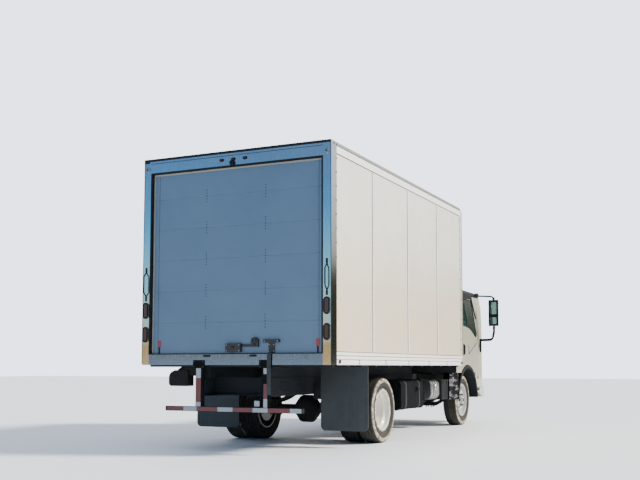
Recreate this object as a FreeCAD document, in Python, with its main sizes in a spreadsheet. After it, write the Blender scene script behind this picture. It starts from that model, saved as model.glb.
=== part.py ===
import FreeCAD, Part
import math
import os
import re

import Sketcher
from FreeCAD import Rotation, Vector

# Box truck with a low forward cab, a 16 ft van body and a roll-up rear door.
# Millimetres. The front looks along -Y, the driver's side is +X, and Z is up.
# The origin lies on the ground, under the middle of the whole truck.

SIZES = {
    # lengths along the truck
    "cab_long": 1770,
    "cab_gap": 293,
    "box_long": 4877,
    "rear_reach": 60,
    "front_overhang": 1195,
    "wheelbase": 3810,
    # van body
    "box_wide": 2438,
    "box_low": 964,
    "box_tall": 2430,
    "wall": 40,
    "floor_top": 1085,
    "floor_thick": 45,
    "beam_tall": 98,
    "beam_wide": 50,
    "beam_count": 12,
    "rail_proud": 5,
    "top_rail": 131,
    "low_rail": 146,
    "box_corner": 60,
    "corner_long": 110,
    # rear frame and roll-up door
    "post_wide": 98,
    "post_deep": 150,
    "post_plate": 40,
    "header_tall": 169,
    "sill_deep": 115,
    "door_thick": 25,
    "door_back": 45,
    "door_lap": 32,
    "groove": 8,
    "panel_tall": 364,
    "panel_first": 2905,
    "latch_low": 1108,
    "latch_tall": 95,
    "latch_reach": 325,
    "latch_end": 92,
    "latch_case": 198,
    "latch_proud": 40,
    "lever_wide": 90,
    "lever_high": 1268,
    "plate_thick": 12,
    "lift_in": 384,
    "lift_out": 584,
    "lift_low": 1209,
    "lift_tall": 35,
    "lift_proud": 30,
    "strap_in": 447,
    "strap_out": 522,
    "strap_low": 1095,
    "handle_low": 1750,
    "handle_high": 2103,
    "handle_rod": 8,
    "lamp_half": 37,
    "lamp_proud": 14,
    "upper_lamp": 540,
    "upper_lamp_tall": 187,
    "lower_lamp": 264,
    "lower_lamp_tall": 180,
    "top_lamp_half": 28,
    "top_lamp_down": 150,
    "top_lamp_tall": 56,
    "header_lamp_half": 22,
    "header_lamp_step": 153,
    "header_lamp_down": 112,
    "header_lamp_tall": 20,
    "marker_radius": 23,
    "marker_proud": 12,
    "marker_high": 1000,
    "marker_back": 215,
    "marker_ahead": 4774,
    # underride guard and mud flaps
    "guard_half": 875,
    "guard_high": 471,
    "guard_tall": 55,
    "guard_tube": 60,
    "guard_post": 428,
    "guard_post_wide": 90,
    "guard_plate_wide": 150,
    "guard_plate_low": 930,
    "guard_plate_high": 1020,
    "guard_plate_thick": 8,
    "tab_in": 276,
    "tab_out": 359,
    "tab_high": 582,
    "tab_thick": 6,
    "flap_in": 565,
    "flap_wide": 610,
    "flap_low": 190,
    "flap_thick": 10,
    "flap_back": 795,
    # ladder frame
    "frame_half": 425,
    "frame_top": 830,
    "frame_tall": 216,
    "frame_flange": 75,
    "frame_metal": 8,
    "frame_front": 200,
    "cross_nose": 60,
    "cross_gearbox": 1150,
    "cross_middle": 2100,
    "cross_spring_ahead": 760,
    "cross_spring_behind": 700,
    "cross_tail": 200,
    "cross_wide": 80,
    "hitch_back": 500,
    "hitch_long": 120,
    "hitch_tall": 90,
    "hitch_hole": 8.75,
    # tyres and wheels
    "tyre_radius": 405.5,
    "tyre_wide": 226,
    "bead_radius": 248,
    "flange_radius": 265,
    "rim_wide": 190,
    "rim_metal": 9,
    "flange_thick": 12,
    "well_radius": 214,
    "front_track": 1674,
    "rear_track": 1639,
    "dual_space": 255,
    "disc_metal": 12,
    "hub_radius": 68,
    "drum_radius": 172,
    "bolt_ring": 111,
    "hand_hole": 27,
    "hand_ring": 163,
    "hand_count": 8,
    "seat_play": 0.3,
    "seat_long": 48,
    "well_edge": 72,
    "bulge_high": 324,
    "bulge_bend": 60,
    "shoulder_in": 14,
    "shoulder_drop": 6,
    "tread_edge": 45,
    "disc_seat": 20,
    "disc_face": 72,
    "disc_top": 84,
    "disc_rise": 70,
    "hub_out": 108,
    "cap_out": 118,
    "cap_in": 18,
    "drum_deep": 52,
    "drum_out": 60,
    "dish_rise": 52,
    "rear_hub_out": 96,
    "rear_cap_out": 112,
    "rear_drum_deep": 215,
    # axles, knuckles and springs
    "king_pin": 16,
    "king_half": 715,
    "pin_play": 0.4,
    "boss_radius": 36,
    "boss_half": 45,
    "fork_gap": 5,
    "fork_tall": 34,
    "spindle": 30,
    "beam_drop": 70,
    "forge_half": 34,
    "forge_deep": 32,
    "drop_start": 110,
    "drop_end": 230,
    "drop_bend": 60,
    "fork_half": 38,
    "fork_flange": 62,
    "arm_long": 190,
    "arm_half": 25,
    "arm_thick": 24,
    "housing_half": 540,
    "case_half": 150,
    "case_neck": 90,
    "case_radius": 175,
    "case_nose": 330,
    "nose_radius": 70,
    "pad_half": 45,
    "pad_long": 70,
    "pad_rise": 15,
    "axle_tube": 55,
    "axle_spindle": 40,
    "spring_wide": 70,
    "spring_thick": 42,
    "front_spring_half": 600,
    "rear_spring_half": 650,
    "front_spring_in": 345,
    "spring_sag": 130,
    "spring_gap": 7,
    "hanger_long": 100,
    "hanger_lap": 30,
    "hanger_drop": 60,
    "hanger_rise": 120,
    "front_hanger_drop": 115,
    # engine, drive line and exhaust
    "engine_half": 290,
    "engine_ahead": 380,
    "engine_behind": 420,
    "engine_drop": 110,
    "engine_top": 838,
    "gearbox_half": 170,
    "gearbox_long": 660,
    "gearbox_drop": 120,
    "gearbox_top": 770,
    "shaft_radius": 42,
    "pipe_radius": 40,
    "pipe_bend": 95,
    "pipe_in": 235,
    "pipe_out": 500,
    "pipe_low": 566,
    "pipe_high": 875,
    "pipe_tail": 450,
    "tail_in": 832,
    "tail_out": 1100,
    "tail_low": 715,
    "tail_top": 905,
    "tail_half": 65,
    # cab
    "cab_half": 1032,
    "cab_wall": 45,
    "cab_top": 2238,
    "roof_half": 965,
    "belt": 1500,
    "front_belt": 1383,
    "cab_low": 850,
    "cab_skirt": 600,
    "floor_rise": 45,
    "arch_radius": 525,
    "arch_lip": 35,
    "arch_clear": 12,
    "flare_proud": 15,
    "arch_metal": 12,
    "arch_deep": 290,
    "arch_low": 30,
    "nose_set": 30,
    "plan_corner": 350,
    "roof_set": 270,
    "roof_panel": 60,
    "glass": 8,
    "door_front_set": 520,
    "door_rear_set": 250,
    "door_gap": 5,
    "door_low": 650,
    "pillar_run": 175,
    "door_top": 115,
    "door_top_rear": 95,
    "window_side": 70,
    "window_rise": 112,
    "window_fall": 95,
    "window_front": 105,
    "window_front_top": 258,
    "window_top": 190,
    "windshield_low": 45,
    "windshield_high": 150,
    "windshield_side": 75,
    "rear_window_half": 430,
    "rear_window_low": 90,
    "rear_window_high": 240,
    "panel_side": 190,
    "slot_side": 420,
    "slot_first": 95,
    "slot_step": 62,
    "slot_tall": 38,
    "lamp_in": 400,
    "lamp_out": 70,
    "lamp_up": 25,
    "lamp_down": 75,
    "lamp_deep": 40,
    "fit_play": 0.2,
    "bumper_low": 430,
    "bumper_tall": 165,
    "bumper_metal": 30,
    "bumper_back": 515,
    "step_wide": 180,
    "step_long": 130,
    "step_lap": 20,
    "step_rise": 85,
    "step_thick": 30,
    # cab inside
    "driver_in": 80,
    "driver_out": 600,
    "mate_in": 20,
    "mate_out": 860,
    "seat_set": 110,
    "seat_back_tall": 640,
    "seat_tall": 210,
    "seat_reach": 740,
    "mount_long": 90,
    "mount_front": 230,
    "mount_rear": 170,
    "dash_side": 260,
    "dash_rise": 250,
    "wheel_side": 340,
    "wheel_ring": 205,
    "wheel_rod": 15,
    "wheel_back": 540,
    "wheel_rise": 560,
    "column_radius": 28,
    "spoke_wide": 60,
    "spoke_thick": 16,
    "console_half": 130,
    "console_tall": 300,
    # beside the frame
    "tank_in": 520,
    "tank_out": 980,
    "tank_low": 364,
    "tank_high": 760,
    "tank_place": 2050,
    "tank_long": 950,
    "can_in": 560,
    "can_out": 960,
    "can_low": 467,
    "can_high": 750,
    "can_place": 1290,
    "can_long": 390,
    "can_rib": 8,
    "can_rib_long": 22,
    "battery_in": 500,
    "battery_out": 900,
    "battery_low": 440,
    "battery_high": 740,
    "battery_place": 640,
    "battery_long": 320,
    "shelf_drop": 20,
    "shelf_tall": 90,
    # mirrors
    "mirror_out": 1282,
    "mirror_wide": 168,
    "mirror_tall": 444,
    "mirror_low": 1634,
    "mirror_rod": 14,
}

# Places worked out from the sizes, in words that every feature may use.
PLACES = {
    "half_long": "(cab_long + cab_gap + box_long + rear_reach) / 2",
    "front": "0 - half_long",
    "cab_back": "front + cab_long",
    "box_front": "cab_back + cab_gap",
    "box_back": "box_front + box_long",
    "axle_front": "front + front_overhang",
    "axle_rear": "axle_front + wheelbase",
    "box_half": "box_wide / 2",
    "box_top": "box_low + box_tall",
    "wall_in": "box_half - wall",
    "post_in": "box_half - post_wide",
    "header_low": "box_top - header_tall",
    "side_front": "box_front + corner_long",
    "side_back": "box_back - post_deep",
    "floor_low": "floor_top - floor_thick",
    "beam_low": "floor_low - beam_tall",
    "frame_low": "frame_top - frame_tall",
    "frame_middle": "frame_top - frame_tall / 2",
    "web_in": "frame_half - frame_metal",
    "rear_spring_in": "frame_half + spring_gap",
    "dual_half": "dual_space / 2",
    "fork_reach": "boss_half + fork_gap + fork_tall",
    "front_half": "front_track / 2",
    "rear_half": "rear_track / 2",
    "door_face": "box_back - door_back",
    "skin": "cab_half - cab_wall",
    "nose": "front + nose_set",
    "floor_high": "cab_low + floor_rise",
    "arch_top": "tyre_radius + arch_radius",
    "door_front": "front + door_front_set",
    "door_rear": "cab_back - door_rear_set",
    "seat_floor": "arch_top + floor_rise",
    "latch_high": "latch_low + latch_tall",
    "guard_front": "box_back - guard_tube",
    "post_middle": "box_half - post_wide / 2",
}

WORD = re.compile(r"[a-z][a-z_]*")

doc = FreeCAD.newDocument("box_truck")
sheet = doc.addObject("Spreadsheet::Sheet", "dims")
for row, (alias, value) in enumerate(SIZES.items(), 1):
    sheet.set(f"A{row}", alias)
    sheet.set(f"B{row}", str(value))
    sheet.setAlias(f"B{row}", alias)
doc.recompute()

nodes = []
cuts = []


def bound(text):
    """The expression for a feature, with each word turned into its cell or its place."""

    def swap(found):
        word = found.group()
        if word in PLACES:
            return f"({bound(PLACES[word])})"
        return f"dims.{word}" if word in SIZES else word

    return WORD.sub(swap, str(text))


def size(text):
    """The value of an expression now, in millimetres."""
    return float(sheet.evalExpression(bound(text)))


def tie(thing, **links):
    """Bind properties to expressions; a double underscore stands for a dot."""
    for name, text in links.items():
        thing.setExpression(name.replace("__", "."), bound(text))


# Sketch planes with the sign of their normal along the world axis they face.
PLANE = {"XY": 1, "YZ": 1, "XZ": -1}


def new_body(label):
    return doc.addObject("PartDesign::Body", label)


def new_sketch(body, plane, level):
    """An empty sketch on one of the body's own planes, moved to a level along its axis."""
    sketch = body.newObject("Sketcher::SketchObject", body.Name + "_sketch")
    role = plane + "_Plane"
    own = next(f for f in body.Origin.OriginFeatures if f.Role == role)
    sketch.AttachmentSupport = (own, [""])
    sketch.MapMode = "FlatFace"
    sketch.setExpression("AttachmentOffset.Base.z", bound(f"{PLANE[plane]} * ({level})"))
    return sketch


def hold(sketch, rules):
    """Add constraints in one go, given as (constraint, text or None), and bind their values."""
    first = len(sketch.Constraints)
    sketch.addConstraint([rule for rule, text in rules])
    for number, (rule, text) in enumerate(rules, first):
        if text is not None:
            sketch.setExpression(f"Constraints[{number}]", bound(text))


def place_rules(geometry, end, place):
    """Hold one point at a bound distance from the sketch's origin, along both axes."""
    kinds = zip(("DistanceX", "DistanceY"), place)
    return [(Sketcher.Constraint(kind, -1, 1, geometry, end, size(text)), text) for kind, text in kinds]


def draw_outline(sketch, corners):
    """A closed outline through bound corners; a third value rounds the corner."""
    points = [Vector(size(c[0]), size(c[1]), 0) for c in corners]
    turns = []
    for i, point in enumerate(points):
        back = (points[i - 1] - point).normalize()
        ahead = (points[(i + 1) % len(points)] - point).normalize()
        radius = size(corners[i][2]) if len(corners[i]) > 2 else 0
        angle = back.getAngle(ahead)
        reach = radius / math.tan(angle / 2) if radius else 0
        turns.append((point + back * reach, point + ahead * reach, back, ahead, radius, angle))
    count = len(turns)
    shapes = [Part.LineSegment(turns[i][1], turns[(i + 1) % count][0]) for i in range(count)]
    rules = []
    for i, (start, end, back, ahead, radius, angle) in enumerate(turns):
        before, after = (i - 1) % count, i
        if not radius:
            rules.append((Sketcher.Constraint("Coincident", before, 2, after, 1), None))
            rules += place_rules(after, 1, corners[i])
            continue
        centre = points[i] + (back + ahead).normalize() * (radius / math.sin(angle / 2))
        arc = len(shapes)
        left_turn = (back.cross(ahead)).z < 0
        first, last = (start, end) if left_turn else (end, start)
        whole = Part.Circle(centre, Vector(0, 0, 1), radius)
        shapes.append(Part.ArcOfCircle(whole, whole.parameter(first), whole.parameter(last)))
        joint = 1 if left_turn else 2
        corner = len(shapes)
        shapes.append(Part.Point(points[i]))
        rules.append((Sketcher.Constraint("Tangent", before, 2, arc, joint), None))
        rules.append((Sketcher.Constraint("Tangent", after, 1, arc, 3 - joint), None))
        rules.append((Sketcher.Constraint("Radius", arc, radius), corners[i][2]))
        rules.append((Sketcher.Constraint("PointOnObject", corner, 1, before), None))
        rules.append((Sketcher.Constraint("PointOnObject", corner, 1, after), None))
        rules += place_rules(corner, 1, corners[i])
    for shape in shapes:
        sketch.addGeometry(shape, isinstance(shape, Part.Point))
    hold(sketch, rules)


def draw_circle(sketch, centre, radius):
    """A circle at a bound centre with a bound radius."""
    place = Vector(size(centre[0]), size(centre[1]), 0)
    ring = sketch.addGeometry(Part.Circle(place, Vector(0, 0, 1), size(radius)), False)
    rules = [(Sketcher.Constraint("Radius", ring, size(radius)), radius)]
    hold(sketch, rules + place_rules(ring, 3, centre))


def add(body, plane, shape, low, high):
    """Pad an outline, or a circle given as (centre, radius), from low to high along its axis."""
    sketch = new_sketch(body, plane, low if PLANE[plane] > 0 else high)
    draw(sketch, shape)
    pad = body.newObject("PartDesign::Pad", body.Name + "_pad")
    pad.Profile = sketch
    tie(pad, Length=f"({high}) - ({low})")
    return pad


def take(body, plane, shape, low, high):
    """Pocket an outline or a circle out of the body, from low to high along its axis."""
    sketch = new_sketch(body, plane, high if PLANE[plane] > 0 else low)
    draw(sketch, shape)
    pocket = body.newObject("PartDesign::Pocket", body.Name + "_pocket")
    pocket.Profile = sketch
    tie(pocket, Length=f"({high}) - ({low})")
    cuts.append(pocket)
    return pocket


def draw(sketch, shape):
    if isinstance(shape, tuple):
        draw_circle(sketch, *shape)
    else:
        draw_outline(sketch, shape)


def spin(body, outline, kind="Revolution"):
    """Turn an outline of the XY plane round the body's X axis, adding or (Groove) taking."""
    sketch = new_sketch(body, "XY", "0")
    draw_outline(sketch, outline)
    turn = body.newObject("PartDesign::" + kind, body.Name + "_turn")
    turn.Profile = sketch
    turn.ReferenceAxis = (sketch, ["H_Axis"])
    turn.Angle = 360
    if kind == "Groove":
        cuts.append(turn)
    return turn


def rectangle(left, right, low, high, *radius):
    """The four corners of a rectangle, all rounded alike where a radius is given."""
    ends = ((left, low), (right, low), (right, high), (left, high))
    return [(str(a), str(b), *radius) for a, b in ends]


def block(label, x, y, z, radius=None):
    """A plain block between two values on each axis, its upright edges rounded if asked."""
    body = new_body(label)
    add(body, "XY", rectangle(*x, *y, *([radius] if radius else [])), *z)
    return body


def rod(label, radius, start, length, axis):
    """A round bar from a bound start point along X, Y or Z."""
    bar = doc.addObject("Part::Cylinder", label)
    turn = {"X": Rotation(Vector(0, 1, 0), 90), "Y": Rotation(Vector(1, 0, 0), -90), "Z": Rotation()}
    bar.Placement = FreeCAD.Placement(Vector(), turn[axis])
    tie(bar, Radius=radius, Height=length)
    tie(bar, Placement__Base__x=start[0], Placement__Base__y=start[1], Placement__Base__z=start[2])
    return bar


def cut(label, base, *tools):
    """The base without the tools."""
    for count, tool in enumerate(tools, 1):
        piece = doc.addObject("Part::Cut", label if count == len(tools) else f"{label}_{count}")
        piece.Base = base
        piece.Tool = tool
        base = piece
    return base


def join(label, *parts, kind="MultiFuse"):
    """Parts fused into one, or what they have in common (MultiCommon)."""
    piece = doc.addObject("Part::" + kind, label)
    piece.Shapes = list(parts)
    return piece


def group(label, *parts):
    """Separate solids that share a node."""
    piece = doc.addObject("Part::Compound", label)
    piece.Links = list(parts)
    return piece


def other_side(label, part):
    """The same piece on the other side of the truck."""
    piece = doc.addObject("Part::Mirroring", label)
    piece.Source = part
    piece.Base = Vector()
    piece.Normal = Vector(1, 0, 0)
    return piece


def both_sides(label, *parts):
    """The parts of one side and their mirror images, in one node."""
    copies = [other_side(f"{label}_{count}", part) for count, part in enumerate(parts)]
    return group(label, *parts, *copies)


def bent_tube(label, route, radius, bend):
    """A round tube along straight runs joined by tangent arcs."""
    points = [Vector(*(size(value) for value in place)) for place in route]
    edges = []
    last = points[0]
    for before, corner, after in zip(points, points[1:], points[2:]):
        back = (before - corner).normalize()
        ahead = (after - corner).normalize()
        angle = back.getAngle(ahead)
        reach = size(bend) / math.tan(angle / 2)
        centre = corner + (back + ahead).normalize() * (size(bend) / math.sin(angle / 2))
        middle = centre + (corner - centre).normalize() * size(bend)
        start, end = corner + back * reach, corner + ahead * reach
        edges.append(Part.LineSegment(last, start).toShape())
        edges.append(Part.Arc(start, middle, end).toShape())
        last = end
    edges.append(Part.LineSegment(last, points[-1]).toShape())
    path = Part.Wire(edges)
    ring = Part.makeCircle(size(radius), points[0], points[1] - points[0])
    tube = doc.addObject("Part::Feature", label)
    tube.Shape = path.makePipeShell([Part.Wire([ring])], True, False)
    return tube


def keep(label, part):
    """Name a finished piece and put it on the list of nodes to write."""
    part.Label = label
    nodes.append(part)
    return part


# Ladder frame: two channel rails, open towards each other, and the channels between them.


def frame_rails():
    rail = new_body("frame_rail_left")
    inner = "frame_half - frame_flange"
    profile = [
        ("frame_half", "frame_low", "frame_metal"), ("frame_half", "frame_top", "frame_metal"),
        (inner, "frame_top"), (inner, "frame_top - frame_metal"),
        ("web_in", "frame_top - frame_metal"), ("web_in", "frame_low + frame_metal"),
        (inner, "frame_low + frame_metal"), (inner, "frame_low"),
    ]
    add(rail, "XZ", profile, "front + frame_front", "box_back - sill_deep")
    for along in ("-1", "1"):
        for up in ("-1", "1"):
            place = (f"box_back - hitch_back + {along} * hitch_long / 2",
                     f"frame_middle + {up} * hitch_tall / 2")
            take(rail, "YZ", (place, "hitch_hole"), "web_in - 2", "frame_half + 2")
    keep("frame_rail_left", rail)
    keep("frame_rail_right", other_side("frame_rail_right", rail))


def frame_crossmembers():
    low, high = "frame_low + frame_metal", "frame_top - frame_metal"
    places = {
        "nose": "front + frame_front + cross_nose", "gearbox": "axle_front + cross_gearbox",
        "middle": "axle_front + cross_middle", "spring_front": "axle_rear - cross_spring_ahead",
        "spring_back": "axle_rear + cross_spring_behind", "tail": "box_back - sill_deep - cross_tail",
    }
    bars = []
    for name, place in places.items():
        bar = new_body("cross_" + name)
        web, end = f"{place} + frame_metal", f"{place} + cross_wide"
        profile = [
            (place, low), (end, low), (end, f"{low} + frame_metal"), (web, f"{low} + frame_metal"),
            (web, f"{high} - frame_metal"), (end, f"{high} - frame_metal"), (end, high), (place, high),
        ]
        add(bar, "YZ", profile, "0 - web_in", "web_in")
        bars.append(bar)
    keep("frame_crossmembers", group("frame_crossmembers", *bars))


# Axles, knuckles, springs and the drive line.


def front_axle():
    """A forged beam, dropped between its spring seats, with an upright boss for each king pin."""
    beam = new_body("front_beam")
    low, high = "(tyre_radius - forge_half)", "(tyre_radius + forge_half)"
    near, far = "(king_half - drop_start)", "(king_half - drop_end)"
    bend = "drop_bend"
    profile = [
        ("0 - king_half", low), (f"0 - {near}", low, bend), (f"0 - {far}", f"{low} - beam_drop", bend),
        (far, f"{low} - beam_drop", bend), (near, low, bend), ("king_half", low),
        ("king_half", high), (f"{near} + 20", high, bend), (f"{far} + 20", f"{high} - beam_drop", bend),
        (f"0 - {far} - 20", f"{high} - beam_drop", bend), (f"0 - {near} - 20", high, bend),
        ("0 - king_half", high),
    ]
    add(beam, "XZ", profile, "axle_front - forge_deep", "axle_front + forge_deep")
    bosses = []
    holes = []
    for side in ("1", "-1"):
        place = (f"{side} * king_half", "axle_front", "tyre_radius - boss_half")
        bosses.append(rod("king_boss", "boss_radius", place, "2 * boss_half", "Z"))
        holes.append(rod("king_bore", "king_pin", place, "2 * boss_half", "Z"))
    keep("front_axle", cut("front_axle", join("front_forging", beam, *bosses), *holes))


def rear_axle():
    """A tubular housing with the round differential case and a spindle at each end."""
    start = ("0 - housing_half", "axle_rear", "tyre_radius")
    tube = rod("axle_tube_bar", "axle_tube", start, "2 * housing_half", "X")
    spindle = rod("axle_spindle_bar", "axle_spindle", ("0 - rear_half", *start[1:]), "rear_track", "X")
    case = new_body("axle_case")
    spin(case, [
        ("0 - case_half", "0"), ("0 - case_half", "case_neck", 20), ("0 - case_half / 2", "case_radius", 40),
        ("case_half / 2", "case_radius", 40), ("case_half", "case_neck", 20), ("case_half", "0"),
    ])
    tie(case, Placement__Base__y="axle_rear", Placement__Base__z="tyre_radius")
    nose = rod("axle_nose", "nose_radius", ("0", "axle_rear - case_nose", "tyre_radius"), "case_nose", "Y")
    pads = []
    for side in ("1", "-1"):
        seat = f"{side} * (rear_spring_in + spring_wide / 2)"
        pads.append(block("axle_pad", (f"{seat} - pad_half", f"{seat} + pad_half"),
                          ("axle_rear - pad_long", "axle_rear + pad_long"),
                          ("tyre_radius", "tyre_radius + axle_tube + pad_rise")))
    keep("rear_axle", join("rear_axle", tube, spindle, case, nose, *pads))
    return nose


def leaf_pack(label, x, centre, half, low):
    """A curved stack of leaves: the part of a wide ring that lies between its two ends."""
    body = new_body(label)
    sag = size("spring_sag")
    radius = (size(half) ** 2 + sag ** 2) / (2 * sag)
    middle = size(low) + radius
    body_sketch = new_sketch(body, "YZ", x[0])
    arcs = []
    for reach in (radius, radius - size("spring_thick")):
        angle = math.asin(size(half) / radius)
        ends = [
            Vector(size(centre) + side * reach * math.sin(angle), middle - reach * math.cos(angle), 0)
            for side in (-1, 1)
        ]
        arcs.append(Part.ArcOfCircle(ends[0], Vector(size(centre), middle - reach, 0), ends[1]))
    lower, upper = (body_sketch.addGeometry(arc, False) for arc in arcs)
    body_sketch.addGeometry(Part.LineSegment(arcs[0].StartPoint, arcs[1].StartPoint), False)
    body_sketch.addGeometry(Part.LineSegment(arcs[0].EndPoint, arcs[1].EndPoint), False)
    pad = body.newObject("PartDesign::Pad", label + "_pad")
    pad.Profile = body_sketch
    tie(pad, Length=f"({x[1]}) - ({x[0]})")
    return body


def spring_pair(name, inside, place, half, low, hanger):
    """A leaf pack with a hanger at each end, as one piece."""
    outside = f"{inside} + spring_wide"
    pack = leaf_pack(name + "_spring", (inside, outside), place, half, low)
    hangers = []
    for end, side in (("ahead", "-1"), ("behind", "1")):
        middle = f"{place} + {side} * ({half} + hanger_long / 2 - hanger_lap)"
        along = (f"{middle} - hanger_long / 2", f"{middle} + hanger_long / 2")
        hangers.append(block(f"{name}_hanger_{end}", (hanger[0], outside), along, hanger[1:]))
    return join(name + "_pack", pack, *hangers)


def springs():
    front = spring_pair("front", "front_spring_in", "axle_front", "front_spring_half",
                        "tyre_radius + forge_half - beam_drop",
                        ("front_spring_in", "frame_low - front_hanger_drop", "frame_low"))
    rear = spring_pair("rear", "rear_spring_in", "axle_rear", "rear_spring_half",
                       "tyre_radius + axle_tube + pad_rise",
                       ("frame_half", "frame_low - hanger_drop", "frame_low + hanger_rise"))
    keep("leaf_springs", both_sides("leaf_springs", front, rear))


def drive_line(nose):
    """Engine and gearbox as plain blocks under the cab, and the shaft back to the rear axle."""
    behind = "axle_front + engine_behind"
    engine = block("engine_lump", ("0 - engine_half", "engine_half"), ("axle_front - engine_ahead", behind),
                   ("frame_low - engine_drop", "engine_top"))
    gearbox = block("gearbox_lump", ("0 - gearbox_half", "gearbox_half"),
                    (behind, f"{behind} + gearbox_long"),
                    ("frame_low - gearbox_drop", "gearbox_top"))
    keep("engine_and_gearbox", join("engine_and_gearbox", engine, gearbox))
    shaft = [
        ("0", f"{behind} + gearbox_long", "frame_low - shaft_radius"),
        ("0", "axle_rear - case_nose", "tyre_radius + 20"),
    ]
    keep("driveshaft", cut("driveshaft", bent_tube("shaft_tube", shaft, "shaft_radius", "0"), gearbox, nose))


def exhaust():
    """A pipe from the engine, out under the left rail and back to a turned-down tail box."""
    side = "(cab_back + 330)"
    tail = "(box_back - pipe_tail)"
    route = [
        ("pipe_in", "axle_front + engine_behind", "pipe_low"), ("pipe_in", side, "pipe_low"),
        ("pipe_out", side, "pipe_low"), ("pipe_out", side, "pipe_high"), ("pipe_out", tail, "pipe_high"),
        ("tail_in + pipe_radius", tail, "pipe_high"),
    ]
    pipe = bent_tube("exhaust_tube", route, "pipe_radius", "pipe_bend")
    box = new_body("tail_box")
    add(box, "XZ", [
        ("tail_in", "tail_low", 12), ("tail_out", "tail_low", 40), ("tail_out", "tail_top - 40", 70),
        ("tail_out - 80", "tail_top", 70), ("tail_in", "tail_top", 20),
    ], f"{tail} - tail_half", f"{tail} + tail_half")
    straps = []
    for name, place in (("front", "0"), ("rear", "axle_rear + 1050")):
        straps.append(block("pipe_strap_" + name, ("frame_half", "pipe_out"), (place, f"{place} + 40"),
                            ("frame_top - 50", "pipe_high")))
    keep("exhaust_pipe", join("exhaust_pipe", pipe, box, *straps))


def knuckle(side):
    """A fork on its king pin, with the flange and the spindle that the wheel turns on."""
    name = {"1": "left", "-1": "right"}[side]
    fork = new_body("knuckle_fork_" + name)
    ends = ("0 - fork_reach", "fork_reach")
    flange = "fork_flange - 18"
    add(fork, "XY", rectangle("0", "fork_flange", "0 - fork_half", "fork_half"), *ends)
    add(fork, "XY", (("0", "0"), "fork_half"), *ends)
    space = rectangle("-60", "60", "0 - boss_half - fork_gap", "boss_half + fork_gap")
    take(fork, "YZ", space, "-60", flange)
    add(fork, "XY", (("0", "0"), "king_pin - pin_play"), *ends)
    add(fork, "YZ", (("0", "0"), "spindle"), flange, "front_half - king_half + 50")
    add(fork, "XY", rectangle("0 - arm_half", "arm_half", "0", "arm_long", 20), "0 - fork_reach",
        "arm_thick - fork_reach")
    place_side(fork, side, "king_half", "axle_front")
    keep("knuckle_" + name, fork)


def place_side(body, side, x, y):
    """Move a piece built at the origin to its place, turned round for the right side."""
    if side == "-1":
        body.Placement = FreeCAD.Placement(Vector(), Rotation(Vector(0, 0, 1), 180))
    tie(body, Placement__Base__x=f"{side} * ({x})", Placement__Base__y=y, Placement__Base__z="tyre_radius")


# Tyres and steel wheels. The X axis of each is its axle, with +X outwards.


def tyre_outline(middle):
    """Half section of a tyre: beads on the rim, bulged walls and a flat tread."""
    half = "tyre_wide / 2"
    bead = "(rim_wide / 2 - flange_thick - seat_play)"
    shoulder = "tyre_radius - shoulder_drop"
    return [
        (f"{middle} - {bead}", "bead_radius"), (f"{middle} + {bead}", "bead_radius"),
        (f"{middle} + {bead}", "flange_radius + 3", 8), (f"{middle} + {half}", "bulge_high", "bulge_bend"),
        (f"{middle} + {half} - shoulder_in", shoulder, 14),
        (f"{middle} + {half} - tread_edge", "tyre_radius"),
        (f"{middle} - {half} + tread_edge", "tyre_radius"),
        (f"{middle} - {half} + shoulder_in", shoulder, 14),
        (f"{middle} - {half}", "bulge_high", "bulge_bend"), (f"{middle} - {bead}", "flange_radius + 3", 8),
    ]


def tyre(label, side, x, y, middle="0"):
    body = new_body(label)
    spin(body, tyre_outline(middle))
    place_side(body, side, x, y)
    return body


def rim_outline(middle):
    """Section of a rim: two flanges, two bead seats and the well between them."""
    seat = "bead_radius - seat_play"
    inside = f"{seat} - rim_metal"
    half = [
        ("0", "flange_radius", 4), ("flange_thick", "flange_radius", 5), ("flange_thick", seat),
        ("seat_long", f"{seat} - 3", 12), ("well_edge", "well_radius", 12),
    ]
    back = [
        ("well_edge + 2", "well_radius - rim_metal", 12), ("seat_long + 2", f"{inside} - 3", 12),
        ("0", inside, 6),
    ]
    left, right = f"{middle} - rim_wide / 2", f"{middle} + rim_wide / 2"
    outline = [(f"{left} + {x}", *rest) for x, *rest in half]
    outline += [(f"{right} - ({x})", *rest) for x, *rest in reversed(half)]
    outline += [(f"{right} - ({x})", *rest) for x, *rest in reversed(back)]
    return outline + [(f"{left} + {x}", *rest) for x, *rest in back]


def hand_holes(body, low, high):
    """A ring of round holes through the disc."""
    hole = take(body, "YZ", (("0", "hand_ring"), "hand_hole"), low, high)
    ring = body.newObject("PartDesign::PolarPattern", body.Name + "_ring")
    ring.Originals = [hole]
    ring.Axis = (next(f for f in body.Origin.OriginFeatures if f.Role == "X_Axis"), [""])
    ring.Angle = 360
    tie(ring, Occurrences="hand_count")
    body.Tip = ring


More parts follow.
